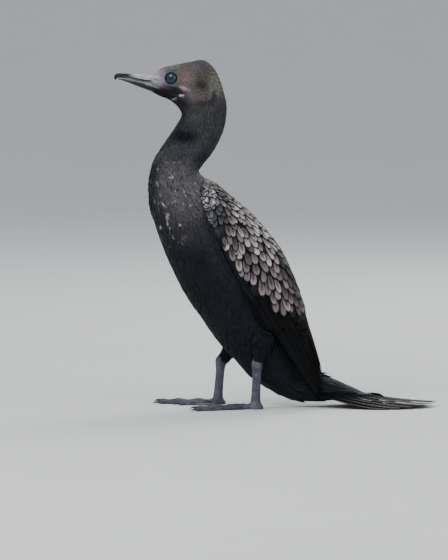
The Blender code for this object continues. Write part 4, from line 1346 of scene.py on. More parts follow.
    def thigh_rings(self, leg: Limb) -> np.ndarray:
        """Rings from inside the body to the heel."""
        names = ("hip", "knee", "heel", "ankle")
        hip, knee, heel, ankle = (leg.joint(name, self.body.drawing) for name in names)
        bend = unit(unit(heel - knee) + unit(ankle - heel))
        deep, wide = self.thigh_radii
        small_deep, small_wide = self.heel_radii
        knots = np.array([
            [*hip, deep, wide],
            [*(hip + (knee - hip) * 0.6), deep * 0.95, wide],
            [*knee, deep * 0.78, wide * 0.85],
            [*(knee + (heel - knee) * 0.55), small_deep * 1.25, small_wide * 1.3],
            [*(heel - bend * 2.5), small_deep, small_wide],
        ])
        rows = spline(knots, np.linspace(0.0, len(knots) - 1.0, 24))
        ahead = np.gradient(rows[:, :3], axis=0)
        return np.array([leg_ring(row[:3], way, row[3], row[4], 36) for row, way in zip(rows, ahead)])

    def drawn_at(self, places: np.ndarray) -> tuple[np.ndarray, np.ndarray, np.ndarray]:
        """The section number and turn of the body form nearest to each place, and how far off it is."""
        at, turn = np.meshgrid(np.linspace(0, self.body.last, 560), np.arange(160) / 160, indexing="ij")
        at, turn = at.ravel(), turn.ravel()
        number, off = nearest(self.body.points(at, turn, self.inset(at)), places)
        return at[number], turn[number], off

    def mark(self, mesh: bpy.types.Mesh) -> None:
        """Stores what the coat and the finishes read: map, lie, size, density, region, and the markings and
        painted light.
        """
        places = coordinates(mesh)
        at, turn, off = self.drawn_at(places)
        on_thigh = smooth(0.8, 2.5, off) * (at > 17)
        lie = self.body.lie(at, turn)
        lie = unit(lie * (1 - on_thigh[:, None]) + np.array([-0.15, 0.0, -1.0]) * on_thigh[:, None])
        tint, fleck = self.tints(places, at, turn, on_thigh)
        store(mesh, "lie", lie)
        store(mesh, "feather", self.feather_size(at, on_thigh))
        store(mesh, "tint", tint)
        store(mesh, "fleck", fleck)
        store(mesh, "coat", self.density(places, at))
        corners = corner_points(mesh)
        starts, totals = (fetched(mesh.polygons, key) for key in ("loop_start", "loop_total"))
        first = np.repeat(turn[corners[starts]], totals)
        unrolled = turn[corners] + np.round(first - turn[corners])
        across, along = np.clip(unrolled, -0.02, 1.02), at[corners] / self.body.last
        store_uv(mesh, "OFBake", np.stack([0.03 + 0.94 * across, 0.01 + 0.98 * along], axis=1))
        store(mesh, "region", self.regions(at[corners[starts]], on_thigh[corners[starts]]), "FACE")

    def regions(self, at: np.ndarray, on_thigh: np.ndarray) -> np.ndarray:
        """The tract that each face belongs to."""
        limits = [2.6, 6.3, 11.2, 15.0, 20.0, self.tail_start]
        order = (Region.FACE, Region.HEAD, Region.NECK, Region.BREAST, Region.BELLY, Region.RUMP,
                 Region.TAIL_COVERTS)
        region = np.array([int(tract) for tract in order])[np.searchsorted(limits, at)]
        return np.where(on_thigh > 0.5, int(Region.THIGH), region)

    def feather_size(self, at: np.ndarray, on_thigh: np.ndarray) -> np.ndarray:
        """Width, length and thickness of the feathers, in metres."""
        knots = [0.0, 2.5, 6.0, 9.0, 12.0, 15.0, 19.0, 22.4, 23.5, 26.0, 28.0]
        length = np.interp(at, knots, [2.0, 3.2, 5.0, 7.0, 8.5, 11.0, 12.5, 13.0, 20.0, 26.0, 22.0])
        width = np.interp(at, knots, [0.9, 1.25, 1.9, 2.9, 3.9, 5.0, 5.6, 5.6, 6.5, 8.0, 7.0])
        length = length * (1 - on_thigh) + 7.5 * on_thigh
        width = width * (1 - on_thigh) + 3.0 * on_thigh
        return np.stack([width, length, length], axis=1) * MM

    def tints(self, places: np.ndarray, at: np.ndarray, turn: np.ndarray,
              on_thigh: np.ndarray) -> tuple[np.ndarray, np.ndarray]:
        """The colour of each place of skin and coat, painted shade, sheen and highlights included, and the
        share of feathers with a pale tip.
        """
        flat = self.body.drawing.flat(places)
        on_back = np.cos(2 * math.pi * turn)
        tint = np.tile(np.array([0.0048, 0.0064, 0.0096]), (len(at), 1))
        # Painted shade: the thighs, tucked under the belly, are tinted darker than it.
        tint = blend(tint, on_thigh, (0.0034, 0.0044, 0.0066))
        tint = blend(tint, (1 - smooth(13.2, 16.6, at)) * smooth(-1.0, -0.35, on_back), (0.068, 0.064, 0.071))
        tint = blend(tint, 1 - smooth(10.2, 12.0, at), (0.031, 0.032, 0.036))
        tint = blend(tint, 1 - smooth(5.4, 7.2, at), (0.092, 0.083, 0.085))
        throat = smooth(-0.25, -0.75, on_back) * (1 - smooth(5.0, 8.5, at))
        tint = blend(tint, throat, (0.008, 0.008, 0.009))
        for marking in (*self.markings, *self.gape_spots):
            tint = marking.paint(flat, tint)
        fleck = sum(zone.share(flat) * zone.colour[0] for zone in self.fleck_zones)
        return tint, fleck * (1 - smooth(15.0, 17.0, at)) * smooth(9.3, 10.6, at)

    def density(self, places: np.ndarray, at: np.ndarray) -> np.ndarray:
        """Where feathers grow: not on eye, lores and gape, nor under the wings."""
        flat = self.body.drawing.flat(places)
        eye = self.body.drawing.flat(eye_centre(Side.LEFT))
        clear = smooth(self.eye_clear, self.eye_clear + 1.0, np.linalg.norm(flat - eye, axis=1))
        bare = Marking((-73.0, 343.0), (8.0, 10.0), (0, 0, 0), soft=0.3).share(flat)
        bare = bare + Marking((-66.0, 332.0), (15.0, 4.2), (0, 0, 0), soft=0.3, tilt=-16.0).share(flat)
        bare = bare + sum(spot.share(flat) for spot in self.gape_spots)
        dense = np.where(at < 5.5, clear * (1 - smooth(0.25, 0.6, bare)), 1.0)
        return dense * (1 - self.under_wings(places))

    def under_wings(self, places: np.ndarray) -> np.ndarray:
        """One where a wing hides the skin."""
        hidden = np.zeros(len(places))
        along, across = (grid.ravel() for grid in np.meshgrid(np.linspace(0, 1, 90), np.linspace(0, 1, 40)))
        for wing in self.wings:
            number, off = nearest(wing.points(along, across), places)
            inside = (along[number] > 0.05) & (along[number] < 0.72) & (across[number] < 0.90)
            hidden = np.maximum(hidden, ((off < 11.0) & inside).astype(float))
        return hidden

    def carve(self, mesh: bpy.types.Mesh) -> None:
        """Sinks the eye sockets and draws the line of the mouth."""
        places, normals = coordinates(mesh), vertex_normals(mesh)
        eye = eye_centre(Side.LEFT)
        round_eye = np.linalg.norm(places[:, (0, 2)] - eye[[0, 2]], axis=1)
        sunk = self.socket_depth * (1 - smooth(4.2, 6.2, round_eye)) * (np.abs(places[:, 1]) > 3)
        knots = np.linspace(0, len(self.gape) - 1.0, 60)
        line = spline(np.array(self.gape), knots) + [self.body.drawing.shift, 0.0]
        gap = np.min(np.linalg.norm(places[:, None, (0, 2)] - line[None], axis=2), axis=1)
        sunk = sunk + 1.3 * np.exp(-((gap / 0.8) ** 2)) * (np.abs(places[:, 1]) > 2)
        lips = 0.45 * np.exp(-(((gap - 1.9) / 0.9) ** 2)) * (np.abs(places[:, 1]) > 2)
        move_points(mesh, places + normals * (lips - sunk)[:, None])


@dataclass
class Coat:
    """All small feathers of the body."""

    skin: bpy.types.Object
    tree: CoatTree
    finishes: Finishes

    def build(self) -> list[bpy.types.Object]:
        """Grows every tract."""
        made = []
        for plan in COATS:
            piece = self.tree.grow(self.skin, plan, self.finishes.plumage)
            piece.data.shade_smooth()
            made.append(piece)
        return made


@dataclass(frozen=True)
class Tier:
    """Rows of like wing feathers that point along the wing, turned towards its lower edge."""

    rows: int
    count: int
    along: tuple[float, float]
    across: tuple[float, float]
    length: tuple[float, float]
    width: tuple[float, float]
    turn: tuple[float, float]
    lift: float


@dataclass(frozen=True)
class Quills:
    """A fan of long feathers of a wing, from the first, nearest the back, to the last."""

    count: int
    root_along: tuple[float, float]
    root_across: tuple[float, float]
    tip_along: tuple[float, float]
    tip_across: tuple[float, float]
    width: float
    lift: float
    pale: float
    lined: float = 1.0
    scatter: float = 0.008
    flare: float = 0.0


@dataclass
class Wing:
    """One folded wing: its bed, its long quills and its scaly coverts."""

    form: WingForm
    finishes: Finishes
    tiers: tuple = (
        Tier(5, 11, (-0.01, 0.09), (0.14, 0.97), (9.5, 10.5), (6.6, 7.4), (4.0, 26.0), 0.8),
        Tier(8, 9, (0.115, 0.345), (0.14, 0.98), (12.0, 17.0), (8.6, 10.6), (4.0, 30.0), 0.8),
        Tier(12, 7, (0.37, 0.74), (0.17, 0.94), (17.0, 21.0), (11.5, 12.5), (2.0, 24.0), 1.0),
        Tier(13, 3, (0.03, 0.72), (0.05, 0.27), (17.0, 27.0), (10.0, 13.0), (-2.0, 6.0), 0.8),
    )
    quills: tuple = (
        Quills(5, (0.50, 0.50), (-0.12, 0.10), (0.93, 0.90), (-0.48, 0.02), 14.0, -1.3, 0.0,
               scatter=0.03),
        Quills(8, (0.56, 0.50), (0.14, 0.92), (0.955, 1.00), (-0.03, 0.80), 11.5, -1.4, 0.0,
               flare=4.8),
        Quills(9, (0.50, 0.46), (0.30, 0.96), (0.90, 0.78), (0.22, 0.95), 13.0, -0.9, 0.0,
               scatter=0.04),
        Quills(7, (0.26, 0.50), (0.99, 0.95), (0.52, 0.76), (0.96, 0.93), 9.0, -0.9, 0.0, 0.1),
        Quills(5, (0.52, 0.54), (0.08, 0.50), (0.90, 0.80), (0.11, 0.50), 14.5, -0.2, 0.09,
               scatter=0.05),
    )
    centre: tuple = (0.150, 0.129, 0.135)
    black: tuple = (0.0032, 0.0036, 0.0048)
    shades: tuple = (
        Marking((29.0, 179.0), (36.0, 12.0), (0.36, 0.325, 0.315), 0.85, 0.6, -50.0),
        Marking((52.5, 119.5), (24.0, 28.0), (0.165, 0.125, 0.130), 0.8, 0.6),
        Marking((-8.4, 226.0), (21.0, 12.0), (0.060, 0.055, 0.055), 0.95, 0.5),
        Marking((-21.0, 222.0), (9.0, 9.0), (0.26, 0.26, 0.27), 0.8, 0.5),
        Marking((-2.0, 196.0), (4.5, 18.0), (0.055, 0.053, 0.056), 0.85, 0.5),
        Marking((-14.0, 200.0), (7.0, 12.0), (0.050, 0.060, 0.077), 0.9, 0.5),
        Marking((62.0, 139.0), (26.0, 3.6), (0.012, 0.011, 0.011), 0.9, 0.5, -64.0),
    )
    front_edge: tuple = ((96.5, 51.5), (109.1, 42.0), (121.7, 31.5), (133.2, 16.8), (147.9, 7.3),
                         (165.8, -4.2), (184.0, -6.0), (192.0, -21.0), (208.0, -25.0), (228.0, -31.0))
    scaly_end: float = 95.0
    draw_in: float = 0.16
    bed_end: float = 0.64
    seed: int = 21

    def build(self, tree: CoatTree) -> list[bpy.types.Object]:
        """Builds the wing's pieces."""
        word = self.form.side.word
        rng = np.random.default_rng(self.seed)
        bed = self.bed(f"wing_bed_{word}")
        flank = tree.grow(bed, FLANK_COAT, self.finishes.plumage, f"coat_flank_{word}")
        quills, coverts = Plumes(f"quills_{word}", QUILL), Plumes(f"coverts_{word}", COVERT)
        for fan in self.quills:
            for number in range(fan.count):
                self.quill(quills, fan, number, rng)
        for tier in self.tiers:
            self.coverts(coverts, tier, rng)
        return [bed, flank, quills.finish(self.finishes.flight), coverts.finish(self.finishes.wing)]

    def bed(self, name: str) -> bpy.types.Object:
        """The dark bed under the feathers, down to the body's side, marked for those along its rim."""
        along, across = np.linspace(0.0, self.bed_end, 48), np.linspace(0.0, 1.0, 30)
        a, c = (grid.ravel() for grid in np.meshgrid(along, across, indexing="ij"))
        back, _, normal = self.form.slopes(a, c)
        place = self.form.points(a, c)
        fade = 1 - 0.75 * (a / self.bed_end) ** 4
        outer = place - normal * 1.5
        inner = place - normal * (2.5 + 8.0 * fade * (1 - 0.6 * np.abs(2 * c - 1) ** 3))[:, None]
        inner[:, 1] = self.form.side.value * np.maximum(np.abs(inner[:, 1]), 0.2)
        n, shape = len(outer), (len(along), len(across), 3)
        made = new_mesh_object(name, *slab(outer.reshape(shape), inner.reshape(shape)))
        mesh = made.data
        a, c, back = np.tile(a, 2), np.tile(c, 2), np.tile(unit(back), (2, 1))
        rim = smooth(0.90, 0.97, c) * (1 - smooth(0.52, 0.60, a)) + (1 - smooth(0.0, 0.02, a)) * (c > 0.3)
        fore = np.tile(self.ahead(place), 2) * smooth(0.05, 0.10, a)
        rim = np.maximum(rim, fore) * (1 - smooth(0.52, 0.60, a))
        dull = 0.0050 + (0.012 + 0.033 * (1 - smooth(0.02, 0.28, a))) * (1 - fore)
        store(mesh, "tint", dull[:, None] * np.array([0.96, 1.2, 1.7]))
        store(mesh, "lie", back)
        store(mesh, "feather", np.tile(np.array([4.6, 11.0, 11.0]) * MM, (2 * n, 1)))
        store(mesh, "fleck", np.zeros(2 * n))
        store(mesh, "coat", np.minimum(rim, 1.0))
        store(mesh, "region", np.full(len(mesh.polygons), int(Region.FLANK)), "FACE")
        half = 0.5 * (np.arange(2 * n) >= n)
        flat = np.stack([half + 0.03 + 0.44 * c, 0.03 + 0.94 * a / self.bed_end], axis=1)
        store_uv(mesh, "OFBake", flat[corner_points(mesh)])
        face_outwards(made)
        mesh.materials.append(self.finishes.skin)
        return made

    def ahead(self, places: np.ndarray) -> np.ndarray:
        """One on the blue-black strip ahead of the scaly feathers, and zero on these."""
        flat, edge = self.form.drawing.flat(places), np.array(self.front_edge)
        return smooth(1.5, -1.5, flat[:, 0] - np.interp(flat[:, 1], edge[:, 0], edge[:, 1]))

    def quill(self, plumes: Plumes, fan: Quills, number: int, rng: np.random.Generator) -> None:
        """Adds one long feather that lies along the wing from its root to its tip."""
        share = number / max(fan.count - 1, 1)
        root = np.array([between(ends, share) for ends in (fan.root_along, fan.root_across)])
        tip = np.array([between(ends, share) for ends in (fan.tip_along, fan.tip_across)])
        tip[0] += rng.uniform(-fan.scatter, 0.0)
        t = np.linspace(0.0, 1.0, plumes.vane.stations)
        way = root + (tip - root) * t[:, None]
        normal = self.form.slopes(way[:, 0], way[:, 1])[2]
        height = -3.2 * (1 - t) ** 2 + fan.lift + 0.25 * number / fan.count
        height += fan.flare * (1 - share) ** 1.5 * t ** 3
        path = self.form.points(way[:, 0], way[:, 1]) + normal * height[:, None]
        path[:, 1] *= 1 - self.draw_in * smooth(0.62, 0.98, way[:, 0])
        roll = 0.45 * self.form.side.value * (1 - smooth(0.78, 0.95, tip[1]))
        blade = plumes.vane.blade(path, normal, fan.width / 2, rng, roll=roll)
        centre = np.array(self.black) * (1 - fan.pale) + np.array(self.centre) * fan.pale
        plumes.add(blade, fan.lined * rng.uniform(), centre * rng.uniform(0.7, 1.4))

    def coverts(self, plumes: Plumes, tier: Tier, rng: np.random.Generator) -> None:
        """Adds the rows of one tier, each row half a feather off the last."""
        for row in range(tier.rows):
            down = row / max(tier.rows - 1, 1)
            for number in range(tier.count):
                share = (number + 0.5 * (row % 2) - 0.25 + rng.uniform(-0.20, 0.20)) / (tier.count - 1)
                across = tier.across[0] + (tier.across[1] - tier.across[0]) * share
                along = between(tier.along, down) + rng.uniform(-0.012, 0.012)
                self.covert(plumes, tier, (max(along, 0.0), min(max(across, 0.02), 1.0)), down, rng)

    def covert(self, plumes: Plumes, tier: Tier, root: tuple, down: float, rng: np.random.Generator) -> None:
        """Adds one covert by stepping along the wing's surface in the feather's own direction."""
        length = between(tier.length, down) * rng.uniform(0.84, 1.16)
        turn = math.radians(between(tier.turn, root[1]) + rng.uniform(-14.0, 14.0))
        count = plumes.vane.stations
        step = length / (count - 1)
        along, across = np.empty(count), np.empty(count)
        along[0], across[0] = root
        for j in range(1, count):
            back, below, _ = self.form.slopes(along[j - 1:j], across[j - 1:j])
            along[j] = min(along[j - 1] + step * math.cos(turn) / np.linalg.norm(back), 1.0)
            across[j] = min(across[j - 1] + step * math.sin(turn) / np.linalg.norm(below), 1.0)
        t = np.linspace(0.0, 1.0, count)
        normal = self.form.slopes(along, across)[2]
        height = -1.3 * (1 - t) ** 2 + tier.lift * (0.2 + 0.8 * t)
        path = self.form.points(along, across) + normal * height[:, None]
        half = between(tier.width, down) / 2 * rng.uniform(0.80, 1.12)
        blade = plumes.vane.blade(path, normal, half, rng, roll=rng.uniform(-0.2, 0.2))
        grain, colour = rng.uniform(), self.centre_colour(path[-2], rng)
        if self.scaly(path[-2]) > 0.4:
            plumes.add(blade, grain, colour)

    def scaly(self, tip: np.ndarray) -> float:
        """One for a feather whose tip lies in the scaly part of the wing."""
        past = smooth(self.scaly_end + 2.5, self.scaly_end - 2.5, tip[2])
        return float((1 - past) * (1 - self.ahead(tip[None])[0]))

    def centre_colour(self, tip: np.ndarray, rng: np.random.Generator) -> np.ndarray:
        """The colour of a covert's centre."""
        colour, flat = np.array([self.centre]), self.form.drawing.flat(tip[None])
        for shade in self.shades:
            colour = shade.paint(flat, colour)
        lightness, hue = math.exp(rng.normal(-0.12, 0.44)), 1 + rng.normal(0.0, 0.018, 3)
        return np.minimum(colour[0] * lightness * hue, 0.72)


@dataclass
class Mantle:
    """Feathers along the middle of the back, over the place where the wings meet."""

    wing: Wing
    count: int = 30
    along: tuple = (-0.03, 0.56)
    length: tuple = (13.0, 24.0)
    width: tuple = (10.0, 12.5)
    seed: int = 31

    def build(self) -> bpy.types.Object:
        """Builds the row."""
        rng = np.random.default_rng(self.seed)
        plumes = Plumes("mantle", COVERT)
        rows = np.array(self.wing.form.rows)
        last = len(rows) - 1
        fine = np.linspace(0.0, 1.0, 400)
        ridge = spline(rows[:, 0:2], fine * last)
        distance = np.concatenate([[0.0], np.cumsum(np.linalg.norm(np.diff(ridge, axis=0), axis=1))])
        for number in range(self.count):
            down = number / (self.count - 1)
            length = between(self.length, down) * rng.uniform(0.9, 1.1)
            start = np.interp(between(self.along, down), fine, distance) - 3.0 * (number == 0)
            t = np.linspace(0.0, 1.0, plumes.vane.stations)
            flat = np.stack([np.interp(start + length * t, distance, ridge[:, k]) for k in (0, 1)], axis=1)
            aside = (2.6 if number % 2 else -2.6) + rng.uniform(-0.6, 0.6)
            line = np.stack([flat[:, 0], aside * (1 + 0.3 * t), flat[:, 1]], axis=1)
            path = self.wing.form.drawing.place(line)
            ahead = np.gradient(path, axis=0)
            normal = unit(np.cross(ahead, np.array([0.0, 1.0, 0.0])) * -1.0)
            normal = unit(np.where(normal[:, 2:] < 0, -normal, normal) + np.array([0.0, 0.08 * aside, 0.0]))
            path = path + normal * (-1.0 * (1 - t) ** 2 + 0.2 + 0.3 * t)[:, None]
            half = between(self.width, down) / 2
            blade = plumes.vane.blade(path, normal, half, rng, roll=rng.uniform(-0.2, 0.2))
            plumes.add(blade, rng.uniform(), self.wing.centre_colour(path[-2], rng))
        return plumes.finish(self.wing.finishes.wing)


@dataclass
class Tail:
    """Twelve stiff, graduated feathers that slope to the floor and lie on it."""

    drawing: Drawing
    finishes: Finishes
    lengths: tuple = (140.0, 136.0, 129.0, 119.0, 107.0, 93.0)
    root: tuple = (80.0, 25.0)
    fan_step: float = 3.7
    first_yaw: float = 1.6
    width: float = 14.0
    stack: float = 1.2
    tip_height: float = 0.6
    dome: float = 0.9
    black: tuple = (0.0050, 0.0052, 0.0060)
    seed: int = 5

    def build(self) -> bpy.types.Object:
        """Builds the tail feathers."""
        rng = np.random.default_rng(self.seed)
        plumes = Plumes("tail_feathers", TAIL_FEATHER)
        for pair in reversed(range(len(self.lengths))):
            for side in Side:
                self.feather(plumes, pair, side, rng)
        return plumes.finish(self.finishes.tail)

    def feather(self, plumes: Plumes, pair: int, side: Side, rng: np.random.Generator) -> None:
        """Adds one tail feather."""
        yaw = math.radians(self.first_yaw + self.fan_step * pair) * side.value
        root_x, root_z = self.root
        start = self.drawing.place([root_x, side.value * (2.0 + 1.6 * pair), root_z - self.stack * pair])
        heading = np.array([math.cos(yaw), math.sin(yaw), 0.0])
        lowest = self.tip_height + 0.3 + self.dome * (len(self.lengths) - 1 - pair)
        t = np.linspace(0.0, 1.0, plumes.vane.stations)
        path = start + heading * (self.lengths[pair] * rng.uniform(0.985, 1.0) * t)[:, None]
        path[:, 2] = lowest + (start[2] - lowest) * (1 - t) ** 1.55
        normals = np.tile(unit(np.array([0.10, 0.03 * pair * side.value, 1.0])), (len(t), 1))
        blade = plumes.vane.blade(path, normals, self.width / 2, rng)
        plumes.add(blade, rng.uniform(), np.array(self.black) * rng.uniform(0.8, 1.3))


@dataclass
class Bill:
    """The hooked upper bill with its side grooves, and the lower bill under it."""

    drawing: Drawing
    finishes: Finishes
    upper: tuple = (
        (-76.5, 348.0, -77.5, 337.4, 5.6),
        (-80.3, 348.4, -81.5, 339.6, 6.4),
        (-91.4, 349.2, -93.5, 341.7, 5.1),
        (-101.9, 350.1, -104.0, 343.8, 4.2),
        (-111.3, 350.5, -112.4, 345.6, 3.5),
        (-117.1, 350.5, -117.4, 345.9, 3.0),
        (-120.4, 349.2, -119.3, 344.2, 2.2),
        (-121.7, 346.2, -120.5, 343.3, 0.9),
    )
    lower: tuple = (
        (-76.5, 338.0, -78.5, 330.2, 5.4),
        (-81.6, 339.0, -82.5, 331.5, 6.1),
        (-93.5, 341.1, -94.0, 335.8, 4.7),
        (-104.0, 343.2, -104.4, 339.9, 3.7),
        (-112.4, 345.0, -112.7, 342.9, 2.8),
        (-117.4, 345.4, -117.7, 344.2, 1.7),
    )
    groove: float = 0.17
    lower_groove: float = 0.05
    groove_height: float = 0.46
    nostril: tuple = (-85.5, 344.6)

    def build(self) -> list[bpy.types.Object]:
        """Builds both halves of the bill."""
        halves = (("upper", self.upper, self.groove), ("lower", self.lower, self.lower_groove))
        return [self.half(f"bill_horn_{name}", rows, groove) for name, rows, groove in halves]

    def half(self, name: str, rows: tuple, groove: float) -> bpy.types.Object:
        """One half of the bill, closed at both ends.

        Args:
            name: The piece's name.
            rows: Its sections, from the root to the tip.
            groove: How deep its side groove is, as a share of its width.

        Returns:
            The half, marked where its horn is pale and where it meets the skin.
        """
        is_upper = rows is self.upper
        at, turn = np.linspace(0.0, len(rows) - 1.0, 72), full_turn(48)
        row = spline(np.array(rows), at)
        back, front, wide = row[:, None, 0:2], row[:, None, 2:4], row[:, None, 4]
        height = (1 - np.cos(turn))[None] / 2
        notch = 1 - groove * np.exp(-(((height - self.groove_height) / 0.10) ** 2))
        plates = 1 + 0.008 * np.sin(at * 9.0)[:, None]
        flat = (back + front) / 2 - (front - back) / 2 * np.cos(turn)[None, :, None]
        y = -wide * notch * plates * np.sin(turn)[None]
        rings = self.drawing.place(np.stack([flat[..., 0], y, flat[..., 1]], axis=-1))
        if is_upper:
            rings = self.slit(rings)
        made = new_mesh_object(name, *tube(rings))
        face_outwards(made)
        places = coordinates(made.data) - [self.drawing.shift, 0.0, 0.0]
        root = smooth(-84.5, -79.5, places[:, 0])
        if is_upper:
            off = places[:, 2] - np.interp(places[:, 0], (-114.5, -96.6, -88.2), (348.9, 344.9, 343.2))
            near = smooth(0.2, 1.5, off) * smooth(-108.0, -98.0, places[:, 0])
            near = near + 0.45 * smooth(-0.5, -1.3, off) * smooth(-114.0, -106.0, places[:, 0])
        else:
            below = places[:, 2] - self.upper_edge(places)
            near = smooth(-1.9, -0.9, below) * (0.15 + 0.85 * smooth(-91.0, -87.0, places[:, 0]))
            root = root * smooth(-3.0, -1.6, below)
        store(made.data, "base", near)
        store(made.data, "root", root)
        made.data.materials.append(self.finishes.bill)
        return made

    def upper_edge(self, places: np.ndarray) -> np.ndarray:
        """The height of the lower bill's upper edge at each place."""
        edge = np.array(self.lower)[::-1]
        return np.interp(places[:, 0], edge[:, 0], edge[:, 1])

    def slit(self, rings: np.ndarray) -> np.ndarray:
        """Sinks the thin slits of the nostrils into the grooves."""
        flat = rings[..., (0, 2)] - (np.array(self.nostril) + [self.drawing.shift, 0.0])
        near = np.exp(-((flat[..., 0] / 2.6) ** 2) - (flat[..., 1] / 0.5) ** 2)
        rings = rings.copy()
        rings[..., 1] *= 1 - 0.18 * near
        return rings


@dataclass
class Eye:
    """An eyeball with its ring of lids."""

    side: Side
    finishes: Finishes
    gaze: tuple = (-0.26, 1.0, 0.04)
    radius: float = 6.25
    iris_radius: float = 6.0
    depth: float = 4.2
    bulge: float = 0.3
    lid_radius: float = 6.15
    lid_tube: float = 0.75
    lid_rise: float = 2.2

    def __post_init__(self) -> None:
        """Reads the eye's middle and sets up the way that it looks."""
        self.centre = eye_centre(self.side)
        self.outward = unit(np.array(self.gaze) * [1, self.side.value, 1])
        self.first = unit(np.cross(UP, self.outward))
        self.second = np.cross(self.outward, self.first)

    def build(self) -> list[bpy.types.Object]:
        """Builds the eye and its lids."""
        return [self.ball(), self.lids()]

    def ball(self) -> bpy.types.Object:
        """The eyeball, with a slight bulge of the clear front."""
        tall, turn = np.linspace(0.0, math.pi, 34)[1:-1], full_turn(48)
        deep = self.depth + self.bulge * np.exp(-((tall / 0.7) ** 2))
        middles = self.centre + self.outward * (deep * np.cos(tall))[:, None, None]
        out = self.first * np.cos(turn)[:, None] + self.second * np.sin(turn)[:, None]
        rings = middles + out * (self.radius * np.sin(tall))[:, None, None]
        made = new_mesh_object(f"eyeball_{self.side.word}", *tube(rings))
        face_outwards(made)
        flat = coordinates(made.data) - self.centre
        ahead = flat @ self.outward
        aside = np.linalg.norm(flat - ahead[:, None] * self.outward, axis=1)
        store(made.data, "polar", np.where(ahead > 0, aside / self.iris_radius, 1.2))
        made.data.materials.append(self.finishes.eye)
        return made

    def lids(self) -> bpy.types.Object:
        """A beaded ring of lids."""
        turn, roll = full_turn(72), full_turn(12)
        out = self.first * np.cos(turn)[:, None] + self.second * (0.94 * np.sin(turn))[:, None]
        bead = 1 + 0.16 * np.cos(24 * turn)
        radius = self.lid_radius + self.lid_tube * bead[:, None] * np.cos(roll)[None]
        rise = self.lid_rise + self.lid_tube * bead[:, None] * np.sin(roll)[None]
        points = self.centre + out[:, None, :] * radius[..., None] + self.outward * rise[..., None]
        grid = np.arange(len(turn) * len(roll)).reshape(len(turn), len(roll))
        onward, inward = np.roll(grid, -1, axis=0), np.roll(grid, -1, axis=1)
        faces = np.stack([grid, onward, np.roll(onward, -1, axis=1), inward], axis=-1).reshape(-1, 4)
        made = new_mesh_object(f"lids_{self.side.word}", points.reshape(-1, 3), faces)
        face_outwards(made)
        store(made.data, "tint", np.tile([0.006, 0.016, 0.019], (len(made.data.vertices), 1)))
        made.data.materials.append(self.finishes.skin)
        return made


@dataclass(frozen=True)
class Toe:
    """One toe: its angle from straight ahead, its length, radius and claw."""

    angle: float
    length: float
    radius: float
    claw: float


